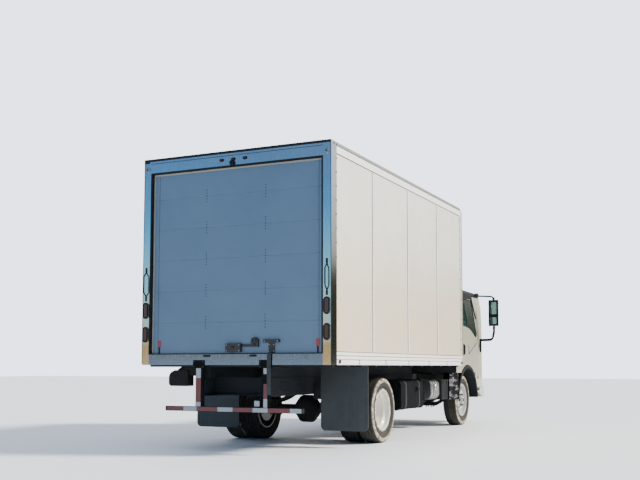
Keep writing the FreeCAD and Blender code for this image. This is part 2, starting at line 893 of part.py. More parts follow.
def front_wheel(side):
    """A rim with its disc bulged outwards, carried on a hub with the brake drum inside."""
    name = {"1": "left", "-1": "right"}[side]
    wheel = new_body("wheel_front_" + name)
    spin(wheel, rim_outline("0"))
    middle = (("0", "0"),)
    disc = [
        ("disc_seat", "well_radius - 4"), ("disc_seat + disc_metal", "well_radius - 4"),
        ("disc_rise", "hand_ring + 18", 20), ("disc_top", "bolt_ring + 24", 20),
        ("disc_face", "bolt_ring", 10),
        ("disc_face", "0"), ("disc_face - disc_metal", "0"), ("disc_face - disc_metal", "bolt_ring + 4", 10),
        ("disc_top - disc_metal - 2", "bolt_ring + 22", 14), ("disc_rise - 8", "hand_ring + 12", 20),
    ]
    spin(wheel, disc)
    hand_holes(wheel, "10", "hub_out")
    add(wheel, "YZ", (*middle, "hub_radius"), "drum_out", "hub_out")
    add(wheel, "YZ", (*middle, "hub_radius - cap_in"), "drum_out", "cap_out")
    add(wheel, "YZ", (*middle, "drum_radius"), "0 - drum_deep", "drum_out")
    take(wheel, "YZ", (*middle, "spindle + pin_play"), "0 - drum_deep - 8", "drum_deep")
    place_side(wheel, side, "front_half", "axle_front")
    keep("wheel_front_" + name, wheel)
    keep("tyre_front_" + name, tyre("tyre_front_" + name, side, "front_half", "axle_front"))


def rear_wheels(side):
    """Two rims back to back on one hub, the outer one a deep dish, with the drum inside."""
    name = {"1": "left", "-1": "right"}[side]
    middle = (("0", "0"),)
    wheel = new_body("wheels_rear_" + name)
    spin(wheel, rim_outline("dual_half"))
    disc = [
        ("dual_half - 8", "well_radius - 4"), ("dual_half + 10", "well_radius - 4"),
        ("dish_rise", "hand_ring + 24", 26),
        ("disc_metal", "bolt_ring + 28", 20), ("disc_metal", "0"), ("0", "0"), ("0", "bolt_ring + 34", 20),
        ("dish_rise - disc_metal", "hand_ring + 28", 26),
    ]
    spin(wheel, disc)
    spin(wheel, rim_outline("0 - dual_half"))
    spin(wheel, [(f"0 - ({x})", *rest) for x, *rest in reversed(disc)])
    hand_holes(wheel, "0 - dual_half - 40", "dual_half + 40")
    add(wheel, "YZ", (*middle, "hub_radius"), "0", "rear_hub_out")
    add(wheel, "YZ", (*middle, "hub_radius - cap_in"), "0", "rear_cap_out")
    add(wheel, "YZ", (*middle, "drum_radius"), "0 - rear_drum_deep", "0")
    take(wheel, "YZ", (*middle, "axle_spindle + pin_play"), "0 - rear_drum_deep - 5", "pin_play")
    place_side(wheel, side, "rear_half", "axle_rear")
    keep("wheels_rear_" + name, wheel)
    pair = [tyre(f"tyre_{name}_{end}", side, "rear_half", "axle_rear", place)
            for end, place in (("outer", "dual_half"), ("inner", "0 - dual_half"))]
    keep("tyres_rear_" + name, group("tyres_rear_" + name, *pair))


def running_gear():
    frame_rails()
    frame_crossmembers()
    front_axle()
    nose = rear_axle()
    springs()
    drive_line(nose)
    exhaust()
    for side in ("1", "-1"):
        knuckle(side)
        front_wheel(side)
        rear_wheels(side)


# Cab. Its outer form is what a side view, a plan and a front view have in common.
# The same form drawn further in gives the inside of its panels and of its glass.


def cab_form(label, inset, low, skirt=None):
    """The cab's outline in three views, drawn in by an inset, from a low level up."""
    side = [
        (f"cab_back - {inset}", low), (f"cab_back - {inset}", f"cab_top - {inset}", "70"),
        (f"nose + roof_set + {inset}", f"cab_top - 40 - {inset}", "90"),
        (f"nose + {inset} + 8", f"front_belt + 10", "60"), (f"nose + {inset}", f"cab_skirt + 120", "60"),
        (f"nose + {inset}", skirt or low),
    ]
    if skirt:
        side += [("axle_front - arch_radius + 60", skirt), ("axle_front - arch_radius + 60", low)]
    body = new_body(label + "_side")
    add(body, "YZ", side, f"0 - cab_half + {inset}", f"cab_half - {inset}")
    plan = new_body(label + "_plan")
    half = f"cab_half - {inset}"
    corners = [
        (f"0 - ({half})", f"cab_back - {inset}", "40"),
        (f"0 - ({half})", f"nose + {inset} + 40", "plan_corner - 45"),
        ("0", f"nose + {inset} - 4", "cab_half * 5"), (half, f"nose + {inset} + 40", "plan_corner - 45"),
        (half, f"cab_back - {inset}", "40"),
    ]
    add(plan, "XY", corners, f"{skirt or low} - 5", "cab_top + 5")
    view = new_body(label + "_view")
    top = f"cab_top - {inset}"
    roof = f"roof_half - {inset}"
    corners = [
        (f"0 - ({half})", f"{skirt or low} - 5"), (half, f"{skirt or low} - 5"), (half, "belt", "900"),
        (roof, f"{top} - 12", "110"), ("0", f"{top} + 14", "4000"), (f"0 - ({roof})", f"{top} - 12", "110"),
        (f"0 - ({half})", "belt", "900"),
    ]
    add(view, "XZ", corners, "nose - 10", "cab_back + 10")
    return join(label, body, plan, view, kind="MultiCommon")


def door_outline(inset):
    """The door in side view, drawn in by an inset: a sloping front pillar above the belt."""
    ahead, behind = f"door_front + {inset}", f"door_rear - {inset}"
    return [
        (behind, f"door_low + {inset}"), (ahead, f"door_low + {inset}", "40"),
        (ahead, "front_belt + 30", "200"),
        (f"{ahead} + pillar_run", f"cab_top - door_top - {inset}", "50"),
        (behind, f"cab_top - door_top_rear - {inset}", "60"),
    ]


def window_outline(inset):
    """The door's window: its lower edge falls towards the front in a slow curve."""
    behind = f"door_rear - window_side - {inset}"
    return [
        (behind, f"belt + window_rise + {inset}", "40"),
        ("door_rear - 480", f"belt + window_rise - 20 + {inset}", "900"),
        (f"door_front + window_front + {inset}", f"belt - window_fall + {inset}", "50"),
        (f"door_front + window_front_top + {inset}", f"cab_top - window_top - {inset}", "50"),
        (behind, f"cab_top - window_top + 18 - {inset}", "60"),
    ]


def windshield_outline(inset):
    """The windshield from ahead: a wide pane, a little narrower at the top."""
    low, high = f"front_belt + windshield_low + {inset}", f"cab_top - windshield_high - {inset}"
    wide, narrow = f"cab_half - windshield_side - {inset}", f"roof_half - windshield_side - 10 - {inset}"
    return [
        (f"0 - ({wide})", low, "70"), (wide, low, "70"),
        (narrow, high, "80"), (f"0 - ({narrow})", high, "80"),
    ]


def rear_window(inset):
    """The cab's rear window as a block through its back wall."""
    half = f"rear_window_half - {inset}"
    return block("rear_window_prism", (f"0 - ({half})", half), ("cab_back - 200", "cab_back + 20"),
                 (f"belt + rear_window_low + {inset}", f"cab_top - rear_window_high - {inset}"))


def lamp_outline(inset):
    """A headlamp from ahead, on the left side."""
    return rectangle(f"cab_half - lamp_in + {inset}", f"cab_half - lamp_out - {inset}",
                     f"cab_skirt + lamp_up + {inset}", f"cab_low - lamp_down - {inset}", "35")


def cab():
    outer = cab_form("cab_outer", "0", "cab_low", "cab_skirt")
    inner = cab_form("cab_inner", "cab_wall", "cab_low - 100", "cab_skirt - 100")
    edge = cab_form("cab_inner_edge", "(cab_wall + door_gap)", "cab_low - 100", "cab_skirt - 100")
    pane = cab_form("cab_pane", "glass", "cab_low - 100", "cab_skirt - 100")
    wide = ("0 - cab_half - 50", "cab_half + 50")
    room_side = new_body("room_side")
    step = "axle_front - arch_radius / 2"
    add(room_side, "YZ", [
        ("cab_back", "arch_top + floor_rise"), ("cab_back", "cab_top"), ("nose", "cab_top"),
        ("nose", "floor_high"), (f"{step} - 80", "floor_high", "30"), (step, "arch_top + floor_rise", "30"),
    ], *wide)
    room = join("cab_room", room_side, inner, kind="MultiCommon")
    under_side = block("under_block", wide, ("nose", "cab_back"), ("cab_skirt - 50", "cab_low"))
    under = join("cab_under", under_side, inner, kind="MultiCommon")
    round_low = ("0 - cab_half - 50", "axle_front", "tyre_radius")
    arch = rod("arch_round", "arch_radius", round_low, "2 * cab_half + 100", "X")
    shell = cut("cab_hollow", outer, room, under, arch)
    keep("cab_floor", join("cab_floor", shell, inner, kind="MultiCommon"))
    skin = cut("cab_skin", outer, inner)
    lip = rod("arch_lip_round", "arch_radius + arch_lip - 5", round_low, "2 * cab_half + 100", "X")
    lip_gap = rod("arch_lip_gap", "arch_radius + arch_lip + arch_clear", round_low, "2 * cab_half + 100", "X")
    hole_prism = new_body("door_hole_prism")
    add(hole_prism, "YZ", door_outline("0"), *wide)
    hole = cut("door_hole", hole_prism, lip, edge)
    door_prism = new_body("door_prism")
    add(door_prism, "YZ", door_outline("door_gap"), *wide)
    window = new_body("window_prism")
    add(window, "YZ", window_outline("0"), *wide)
    shield = new_body("windshield_prism")
    add(shield, "XZ", windshield_outline("0"), "front - 10", "axle_front")
    rear_view = rear_window("0")
    panel_prism = new_body("panel_prism")
    panel_half = "cab_half - panel_side"
    panel_plan = rectangle(f"0 - ({panel_half})", panel_half, "cab_low - lamp_out", "front_belt - 30", "60")
    add(panel_prism, "XZ", panel_plan, "front - 10", "nose + 140")
    lamp_left = new_body("lamp_prism")
    add(lamp_left, "XZ", lamp_outline("0"), "front - 10", "nose + 300")
    lamps = group("lamp_prisms", lamp_left, other_side("lamp_prism_right", lamp_left))
    top = block("roof_block", wide, ("front", "cab_back + 10"), ("cab_top - roof_panel", "cab_top + 30"))
    keep("cab_roof", join("cab_roof", skin, top, kind="MultiCommon"))
    keep("cab_shell", cut("cab_shell", skin, arch, top, hole, shield, rear_view, panel_prism, lamps))
    panel_common = join("panel_common", panel_prism, skin, kind="MultiCommon")
    slots = []
    for count in range(3):
        slot = new_body(f"grille_slot_{count}")
        low = f"cab_low + slot_first + {count} * slot_step"
        outline = rectangle("slot_side - cab_half", "cab_half - slot_side", low, f"{low} + slot_tall", "18")
        add(slot, "XZ", outline, "front - 10", "nose + 200")
        slots.append(slot)
    keep("cab_front_panel", cut("cab_front_panel", panel_common, *slots))
    thin = cut("cab_glass_skin", outer, pane)
    shield_small = new_body("windshield_pane")
    add(shield_small, "XZ", windshield_outline("fit_play"), "front - 10", "axle_front")
    panes = [
        join("windshield_sheet", thin, shield_small, kind="MultiCommon"),
        join("rear_sheet", thin, rear_window("fit_play"), kind="MultiCommon"),
    ]
    keep("cab_glass", group("cab_glass", *panes))
    lamp_back = cab_form("lamp_back", "lamp_deep", "cab_low - 100", "cab_skirt - 100")
    lamp_small = new_body("lamp_pane")
    add(lamp_small, "XZ", lamp_outline("fit_play"), "front - 10", "nose + 300")
    head = join("head_lamp", cut("lamp_skin", outer, lamp_back), lamp_small, kind="MultiCommon")
    keep("front_lamps", both_sides("front_lamps", head))
    right_half = block("right_half", ("0 - cab_half - 60", "0"), ("front - 10", "cab_back + 10"),
                       ("0", "cab_top + 50"))
    door_skin = join("door_skin", skin, cut("door_block", door_prism, lip_gap, right_half),
                     kind="MultiCommon")
    door = cut("door_left", door_skin, window)
    pane_prism = new_body("door_pane_prism")
    add(pane_prism, "YZ", window_outline("fit_play"), "0", "cab_half + 50")
    glass = join("door_glass_left", thin, pane_prism, kind="MultiCommon")
    keep("door_left", door)
    keep("door_right", other_side("door_right", door))
    keep("door_glass_left", glass)
    keep("door_glass_right", other_side("door_glass_right", glass))
    return outer


def wheel_arches():
    """A black liner over each front wheel, with the flare that edges the cab's opening."""
    middle = ("axle_front", "tyre_radius")
    inside, outside = "cab_half - arch_deep", "cab_half + flare_proud"
    body = new_body("arch_left")
    add(body, "YZ", (middle, "arch_radius + arch_lip"), "cab_half", outside)
    add(body, "YZ", (middle, "arch_radius - 0.3"), inside, "cab_half")
    take(body, "YZ", (middle, "arch_radius - arch_metal"), f"{inside} - 10", f"{outside} + 5")
    ends = rectangle("front", "cab_back + 400", "0 - cab_half", "tyre_radius + arch_low")
    take(body, "YZ", ends, f"{inside} - 10", f"{outside} + 5")
    keep("wheel_arches", both_sides("wheel_arches", body))


def front_bumper():
    """A deep bumper that wraps round both corners, with an entry step behind each end."""
    bar = new_body("bumper_bar")
    half, inside = "(cab_half + 12)", "(cab_half + 12 - bumper_metal)"
    end = "front + bumper_back"
    outline = [
        (f"0 - {half}", end), (f"0 - {half}", "front", "plan_corner - 60"),
        (half, "front", "plan_corner - 60"),
        (half, end), (inside, end), (inside, "front + bumper_metal", "plan_corner - 90"),
        (f"0 - {inside}", "front + bumper_metal", "plan_corner - 90"), (f"0 - {inside}", end),
    ]
    add(bar, "XY", outline, "bumper_low", "bumper_low + bumper_tall")
    rise = [
        ("front + bumper_back / 2", "bumper_low"), (f"{end} + 10", "bumper_low + step_rise - 5"),
        (f"{end} + 10", "bumper_low - 10"), ("front + bumper_back / 2", "bumper_low - 10"),
    ]
    take(bar, "YZ", rise, "0 - cab_half - 50", "cab_half + 50")
    step = block("entry_step", (f"{half} - step_wide", half), (f"{end} - step_lap", f"{end} + step_long"),
                 ("bumper_low + step_rise", "bumper_low + step_rise + step_thick"))
    iron = "(frame_half - frame_flange / 2)"
    arm = new_body("bumper_arm")
    side = [
        ("front + bumper_metal", "bumper_low + 45"), ("front + frame_front + 150", "bumper_low + 45"),
        ("front + frame_front + 150", "frame_low"), ("front + frame_front", "frame_low"),
        ("front + nose_set + cab_wall + 15", "cab_skirt - 8"), ("front + bumper_metal", "cab_skirt - 8"),
    ]
    add(arm, "YZ", side, f"{iron} - 32", f"{iron} + 32")
    others = [other_side(piece.Name + "_right", piece) for piece in (arm, step)]
    keep("front_bumper", join("front_bumper", bar, arm, step, *others))


def cab_inside():
    """A bench for three, a dashboard and a steering wheel on its column."""
    seats = []
    for name, left, right in (("driver", "driver_in", "driver_out"), ("mate", "0 - mate_out", "0 - mate_in")):
        seat = new_body(name + "_seat")
        back, head = "cab_back - seat_set", "seat_floor + seat_back_tall"
        side = [
            (back, "seat_floor"), (back, head, "70"), (f"{back} - 140", head, "50"),
            (f"{back} - 190", "seat_floor + seat_tall - 20", "40"),
            ("cab_back - seat_reach", "seat_floor + seat_tall", "60"),
            ("cab_back - seat_reach", "seat_floor"),
        ]
        add(seat, "YZ", side, left, right)
        seats.append(seat)
    keep("seats", group("seats", *seats))
    pads = []
    for name, low in (("front", "nose + mount_front"), ("rear", "cab_back - mount_rear")):
        pads.append(block("cab_mount_" + name, ("frame_half - 62", "frame_half - 10"),
                          (low, f"{low} + mount_long"),
                          ("frame_top", "cab_low"), "12"))
    keep("cab_mounts", both_sides("cab_mounts", *pads))
    dash = new_body("dash_board")
    side = [
        ("nose + 90", "floor_high + dash_rise"), ("nose + 330", "floor_high + dash_rise", "40"),
        ("nose + 400", "floor_high + 430", "60"), ("nose + 330", "front_belt + 40", "50"),
        ("nose + 90", "front_belt + 10", "30"),
    ]
    add(dash, "YZ", side, "0 - cab_half + dash_side", "cab_half - dash_side")
    centre = ("wheel_side", "nose + wheel_back", "floor_high + wheel_rise")
    foot = ("wheel_side", "nose + wheel_back - 200", "floor_high + wheel_rise - 230")
    column = bent_tube("steering_column", [foot, centre], "column_radius", "0")
    ring = doc.addObject("Part::Torus", "steering_ring")
    spoke = doc.addObject("Part::Box", "steering_spoke")
    tilt = Rotation(Vector(1, 0, 0), -40)
    ring.Placement = FreeCAD.Placement(Vector(), tilt)
    spoke.Placement = FreeCAD.Placement(Vector(), tilt)
    tie(ring, Radius1="wheel_ring", Radius2="wheel_rod")
    tie(ring, Placement__Base__x=centre[0], Placement__Base__y=centre[1], Placement__Base__z=centre[2])
    tie(spoke, Length="2 * wheel_ring - 10", Width="spoke_wide", Height="spoke_thick")
    tie(spoke, Placement__Base__x="wheel_side - wheel_ring + 5", Placement__Base__y=f"{centre[1]} - 23",
        Placement__Base__z=f"{centre[2]} + 10")
    console = block("console", ("0 - console_half", "console_half"), ("nose + 200", "nose + 370"),
                    ("floor_high", "floor_high + console_tall"), "20")
    keep("dashboard", join("dashboard", dash, console))
    keep("steering_wheel", join("steering_wheel", cut("steering_post", column, dash), ring, spoke))


def mirrors(outer):
    """A bent tube that curls from the cab's front corner to the roof, with a tall head on it."""
    out, place = "mirror_out", "door_front - 90"
    route = [
        ("cab_half - 34", place, "front_belt + 6"), ("mirror_out - 30", place, "front_belt + 10"),
        (out, place, "mirror_low - 100"), (out, place, "mirror_low + mirror_tall + 60"),
        ("cab_half - 66", "door_front - 10", "mirror_low + mirror_tall + 72"),
    ]
    arm = bent_tube("mirror_arm", route, "mirror_rod", "60")
    head = new_body("mirror_head")
    plan = [
        (f"{out} - mirror_wide / 2", f"{place} + 36", "10"),
        (f"{out} + mirror_wide / 2", f"{place} + 36", "10"),
        (f"{out} + mirror_wide / 2", f"{place} - 10", "30"), (f"{out} + 20", f"{place} - 48", "40"),
        (f"{out} - 20", f"{place} - 48", "40"), (f"{out} - mirror_wide / 2", f"{place} - 10", "30"),
    ]
    add(head, "XY", plan, "mirror_low", "mirror_low + mirror_tall")
    foot = block("mirror_foot", ("cab_half - 6", "cab_half + 28"), (f"{place} - 26", f"{place} + 26"),
                 ("front_belt - 190", "front_belt + 24"), "12")
    keep("mirrors", both_sides("mirrors", cut("mirror_left", join("mirror_whole", arm, head, foot), outer)))


# Van body.


def box_walls():
    """Side walls between the front corner and the rear frame, their top and bottom rails proud."""
    panel = "box_half - rail_proud"
    profile = [
        ("wall_in", "box_low"), ("box_half", "box_low", "8"), ("box_half", "box_low + low_rail"),
        (panel, "box_low + low_rail + 6"),
        (panel, "box_top - top_rail - 6"), ("box_half", "box_top - top_rail"),
        ("box_half", "box_top", "22"), ("wall_in", "box_top"),
    ]
    wall = new_body("box_wall_left")
    add(wall, "XZ", profile, "side_front", "side_back")
    keep("box_wall_left", wall)
    keep("box_wall_right", other_side("box_wall_right", wall))
    front = new_body("box_front_wall")
    plan = [
        ("0 - box_half", "side_front"), ("0 - box_half", "box_front", "box_corner"),
        ("box_half", "box_front", "box_corner"),
        ("box_half", "side_front"), ("wall_in", "side_front"), ("wall_in", "box_front + wall"),
        ("0 - wall_in", "box_front + wall"), ("0 - wall_in", "side_front"),
    ]
    add(front, "XY", plan, "box_low", "box_top")
    keep("box_front_wall", front)
    roof = new_body("box_roof")
    add(roof, "XZ", rectangle("0 - wall_in", "wall_in", "box_top - wall", "box_top"), "box_front + wall",
        "box_back - post_plate")
    keep("box_roof", roof)


def box_floor():
    """The floor, and under it the cross beams on two long sills that sit on the ladder frame."""
    end = "(box_back - sill_deep)"
    floor = block("box_floor", ("0 - wall_in", "wall_in"), ("box_front + wall", end),
                  ("floor_low", "floor_top"))
    keep("box_floor", floor)
    first, last = "(side_front + 20)", f"({end} - beam_wide)"
    sill = block("box_sill", ("frame_half - frame_flange", "frame_half"), (first, end),
                 ("frame_top", "beam_low"))
    keep("box_sills", both_sides("box_sills", sill))
    step = f"({last} - {first}) / (beam_count - 1)"
    beams = []
    for count in range(round(size("beam_count"))):
        place = f"{first} + {count} * {step}"
        beams.append(block(f"cross_beam_{count}", ("0 - wall_in", "wall_in"), (place, f"{place} + beam_wide"),
                           ("beam_low", "floor_low")))
    keep("box_beams", group("box_beams", *beams))


def rear_frame():
    """Two posts with a flange along each side wall, a header over the door and a sill under it."""
    post = new_body("rear_post")
    plan = [
        ("post_in", "box_back"), ("box_half", "box_back", "10"), ("box_half", "side_back"),
        ("wall_in", "side_back"),
        ("wall_in", "box_back - post_plate"), ("post_in", "box_back - post_plate"),
    ]
    add(post, "XY", plan, "box_low", "box_top")
    header = block("rear_header", ("0 - post_in", "post_in"), ("box_back - post_plate", "box_back"),
                   ("header_low", "box_top"))
    sill = block("rear_sill", ("0 - post_in", "post_in"), ("box_back - sill_deep", "box_back"),
                 ("box_low", "floor_top"))
    sill_ends = block("rear_sill_ends", ("0 - wall_in", "wall_in"),
                      ("box_back - sill_deep", "box_back - post_plate"), ("box_low", "floor_top"))
    keep("rear_frame", join("rear_frame", post, other_side("rear_post_right", post), header, sill, sill_ends))


def roll_door():
    """The closed roll-up door: flat sections with a groove between each two."""
    face = "door_face"
    body = block("rear_door", ("0 - post_in - door_lap", "post_in + door_lap"),
                 (f"{face} - door_thick", face),
                 ("floor_top", "header_low + door_lap"))
    cutter = take(body, "YZ",
                  [(face, "panel_first + groove"), (f"{face} - groove", "panel_first"),
                   (face, "panel_first - groove")],
                  "0 - post_in - door_lap - 1", "post_in + door_lap + 1")
    row = body.newObject("PartDesign::LinearPattern", "door_groove_row")
    row.Originals = [cutter]
    row.Direction = (next(f for f in body.Origin.OriginFeatures if f.Role == "Z_Axis"), [""])
    row.Reversed = True
    tie(row, Length="4 * panel_tall", Occurrences="5")
    body.Tip = row
    keep("rear_door", body)


def oval(label, x, z, face, depth):
    """A lamp or pad with fully round ends, standing out from an upright face at the rear."""
    body = new_body(label)
    wide = min(size(x[1]) - size(x[0]), size(z[1]) - size(z[0])) / 2 - 0.5
    add(body, "XZ", rectangle(*x, *z, wide), face, f"{face} + {depth}")
    return body


def body_lamps():
    """Tail, top and header lamps on the rear frame, and a round marker at each end of the side rails."""
    pairs = []
    for name, low, tall in (("upper", "upper_lamp", "upper_lamp_tall"),
                            ("lower", "lower_lamp", "lower_lamp_tall")):
        place = f"box_low + {low}"
        pairs.append(oval("tail_lamp_" + name, ("post_middle - lamp_half", "post_middle + lamp_half"),
                          (place, f"{place} + {tall}"), "box_back", "lamp_proud"))
    top = "box_top - top_lamp_down"
    pairs.append(oval("top_lamp", ("post_middle - top_lamp_half", "post_middle + top_lamp_half"),
                      (top, f"{top} + top_lamp_tall"), "box_back", "lamp_proud"))
    for name, place in (("back", "box_back - marker_back"), ("ahead", "box_back - marker_ahead")):
        pairs.append(rod("marker_" + name, "marker_radius", ("box_half", place, "marker_high"),
                         "marker_proud", "X"))
    low = "box_top - header_lamp_down"
    singles = []
    for name, side in (("left", "1"), ("middle", "0"), ("right", "-1")):
        middle = f"{side} * header_lamp_step"
        singles.append(oval("header_lamp_" + name,
                            (f"{middle} - header_lamp_half", f"{middle} + header_lamp_half"),
                            (low, f"{low} + header_lamp_tall"), "box_back", "lamp_proud"))
    keep("body_lamps", group("body_lamps", both_sides("body_lamp_pairs", *pairs), *singles))


def door_hardware():
    """The latch with its lever, the lift bar over the strap's block, and a grab handle on each post."""
    out = "box_back + rear_reach - handle_rod"
    route = [
        ("post_middle", "box_back", "handle_low"), ("post_middle", out, "handle_low"),
        ("post_middle", out, "handle_high"), ("post_middle", "box_back", "handle_high"),
    ]
    keep("grab_handles", both_sides("grab_handles", bent_tube("grab_handle", route, "handle_rod", "24")))
    case = block("latch_case", ("latch_end - latch_case", "latch_end"),
                 ("door_face", "door_face + latch_proud"),
                 ("latch_low", "latch_high"), "10")
    arm = block("latch_arm", ("0 - latch_reach", "0"), ("door_face", "door_face + plate_thick"),
                ("latch_high - 38", "latch_high - 8"), "5")
    lever = new_body("latch_lever")
    add(lever, "XZ", [
        ("0 - latch_reach", "latch_high - 40"), ("lever_wide - latch_reach", "latch_high - 40"),
        ("lever_wide - latch_reach", "lever_high", 40), ("0 - latch_reach", "lever_high", 40),
    ], "door_face", "door_face + latch_proud - 8")
    bar = block("lift_bar", ("0 - lift_out", "0 - lift_in"), ("door_face", "door_face + lift_proud"),
                ("lift_low", "lift_low + lift_tall"), "8")
    anchor = block("strap_block", ("0 - strap_out", "0 - strap_in"), ("door_face", "door_face + plate_thick"),
                   ("strap_low", "lift_low + 5"), "5")
    keep("door_latch", group("door_latch", join("latch", case, arm, lever), join("lift", bar, anchor)))


def guard_and_flaps():
    """The underride guard on two posts bolted to the sill, and the mud flaps ahead of it."""
    bar = new_body("guard_bar")
    low, high = "(guard_high - guard_tall / 2)", "(guard_high + guard_tall / 2)"
    add(bar, "YZ", rectangle("guard_front", "box_back", low, high, "10"), "0 - guard_half", "guard_half")
    posts = []
    for name, side in (("left", "1"), ("right", "-1")):
        middle = f"{side} * guard_post"
        posts.append(block("guard_post_" + name,
                           (f"{middle} - guard_post_wide / 2", f"{middle} + guard_post_wide / 2"),
                           ("guard_front", "box_back"), (f"{high} - 5", "box_low"), "8"))
        posts.append(block("guard_plate_" + name,
                           (f"{middle} - guard_plate_wide / 2", f"{middle} + guard_plate_wide / 2"),
                           ("box_back", "box_back + guard_plate_thick"),
                           ("guard_plate_low", "guard_plate_high")))
    tab = block("guard_tab", ("0 - tab_out", "0 - tab_in"), ("box_back - 14 - tab_thick", "box_back - 14"),
                (f"{high} - 5", "tab_high"))
    keep("underride_guard", join("underride_guard", bar, tab, *posts))
    flap = new_body("mud_flap")
    add(flap, "XZ", [
        ("flap_in", "flap_low", "60"), ("flap_in + flap_wide", "flap_low", "60"),
        ("flap_in + flap_wide", "floor_low"), ("flap_in", "floor_low"),
    ], "axle_rear + flap_back", "axle_rear + flap_back + flap_thick")
    keep("mud_flaps", both_sides("mud_flaps", flap))


def side_arm(name, inside, place, long, low, tall):
    """A short arm from a piece beside the frame to the right rail."""
    along, up = (place, f"{place} + {long}"), (low, f"{low} + {tall}")
    return block(name, (f"0 - ({inside})", "0 - frame_half"), along, up)


def underbody():
    """What hangs beside the right rail: fuel tank, silver canister and battery box."""
    low = "frame_low + shelf_drop"
    place = "axle_front + tank_place"
    tank = new_body("tank_drum")
    add(tank, "XZ", rectangle("0 - tank_out", "0 - tank_in", "tank_low", "tank_high", "70"), place,
        f"{place} + tank_long")
    hooks = side_arm("tank_hooks", "tank_in", f"{place} + 50", "tank_long - 100", low, "shelf_tall")
    keep("fuel_tank", join("fuel_tank", tank, hooks))
    place = "axle_front + can_place"
    can = new_body("heat_shield")
    add(can, "XZ", rectangle("0 - can_out", "0 - can_in", "can_low", "can_high", "90"), place,
        f"{place} + can_long")
    ends = ("0 - can_out - can_rib", "0 - can_in + can_rib", "can_low - can_rib", "can_high + can_rib", "98")
    for share in (0.08, 0.36, 0.64, 0.92):
        rib = f"{place} + {share} * can_long - can_rib_long / 2"
        add(can, "XZ", rectangle(*ends), rib, f"{rib} + can_rib_long")
    bracket = side_arm("can_bracket", "can_in + 30", f"{place} + 110", "160", low, "shelf_tall")
    keep("exhaust_canister", join("exhaust_canister", can, bracket))
    place = "axle_front + battery_place"
    battery = block("battery_case", ("0 - battery_out", "0 - battery_in"), (place, f"{place} + battery_long"),
                    ("battery_low", "battery_high"), "20")
    shelf = side_arm("battery_shelf", "battery_in", f"{place} + 40", "battery_long - 80", low, "shelf_tall")
    keep("battery_box", join("battery_box", battery, shelf))


def build():
    running_gear()
    outer = cab()
    wheel_arches()
    front_bumper()
    cab_inside()
    mirrors(outer)
    box_walls()
    box_floor()
    rear_frame()
    roll_door()
    body_lamps()
    door_hardware()
    guard_and_flaps()
    underbody()


build()
doc.recompute()

for thing in doc.Objects:
    if {"Invalid", "Error"} & set(thing.State):
        raise RuntimeError(f"{thing.Label} failed: {thing.State}")
for piece in cuts:
    if piece.BaseFeature and piece.Shape.Volume > piece.BaseFeature.Shape.Volume - 1:
        raise RuntimeError(f"{piece.Label} cuts nothing")

os.makedirs("parts", exist_ok=True)
for node in nodes:
    shape = node.Shape
    if shape.isNull() or not shape.isValid():
        raise RuntimeError(f"{node.Label} has no valid shape")
    shape.exportStep(f"parts/{node.Label}.step")
    print(f"{node.Label}: {len(shape.Solids)} solids, {shape.Volume / 1e6:.2f} litres")
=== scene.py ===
import math

import bmesh
import bpy
import numpy as np
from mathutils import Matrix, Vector


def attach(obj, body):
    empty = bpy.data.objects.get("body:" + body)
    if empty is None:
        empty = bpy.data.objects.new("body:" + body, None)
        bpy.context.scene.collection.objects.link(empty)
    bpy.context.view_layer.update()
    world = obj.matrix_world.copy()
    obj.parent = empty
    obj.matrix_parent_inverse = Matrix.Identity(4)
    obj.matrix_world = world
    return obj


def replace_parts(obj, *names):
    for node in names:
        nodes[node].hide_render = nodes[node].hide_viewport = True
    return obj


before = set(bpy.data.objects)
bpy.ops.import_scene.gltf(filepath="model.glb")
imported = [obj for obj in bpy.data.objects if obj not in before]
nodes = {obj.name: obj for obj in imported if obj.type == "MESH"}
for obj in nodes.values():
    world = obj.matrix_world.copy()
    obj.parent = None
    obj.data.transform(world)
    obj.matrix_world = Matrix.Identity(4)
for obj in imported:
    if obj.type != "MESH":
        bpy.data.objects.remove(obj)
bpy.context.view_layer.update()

# The camera that the photograph was taken with, solved from the truck's own sizes.
CAMERA_PLACE = (-5.2529, 12.2274, 0.9484)
CAMERA_YAW = 0.4379
CAMERA_PITCH = 0.0833
LENS = 51.33
SHIFT = (-0.0066, 0.0785)

# Places of the truck in metres: front along -Y, the driver's side +X, up +Z.
BOX_HALF = 1.219
PANEL = 1.214
BOX_FRONT = -1.437
BOX_BACK = 3.440
BOX_LOW = 0.964
BOX_TOP = 3.394
LOW_RAIL = 1.110
TOP_RAIL = 3.263
SIDE_FRONT = -1.327
SIDE_BACK = 3.290
DOOR_FACE = 3.395
POST_IN = 1.121
POST_MIDDLE = 1.170
HEADER_LOW = 3.225
FLOOR_TOP = 1.085
DOOR_SEAMS = 1.449 + 0.364 * np.arange(5)
AXLE_FRONT = -2.305
AXLE_REAR = 1.505
TYRE_RADIUS = 0.4055
FRONT_HALF = 0.837
REAR_HALF = 0.8195
DUAL_HALF = 0.1275
RAIL_OUT = 0.425
CAB_HALF = 1.032
SIDES = {"left": 1.0, "right": -1.0}

# A headlamp's lens seen from ahead, and the places across, height and radius of its reflectors.
LAMP_ACROSS = (0.632, 0.962)
LAMP_UP = (0.625, 0.775)
BOWL_PLACES = (0.705, 0.842)
BOWL_HEIGHT = 0.700
BOWL_RADIUS = 0.060


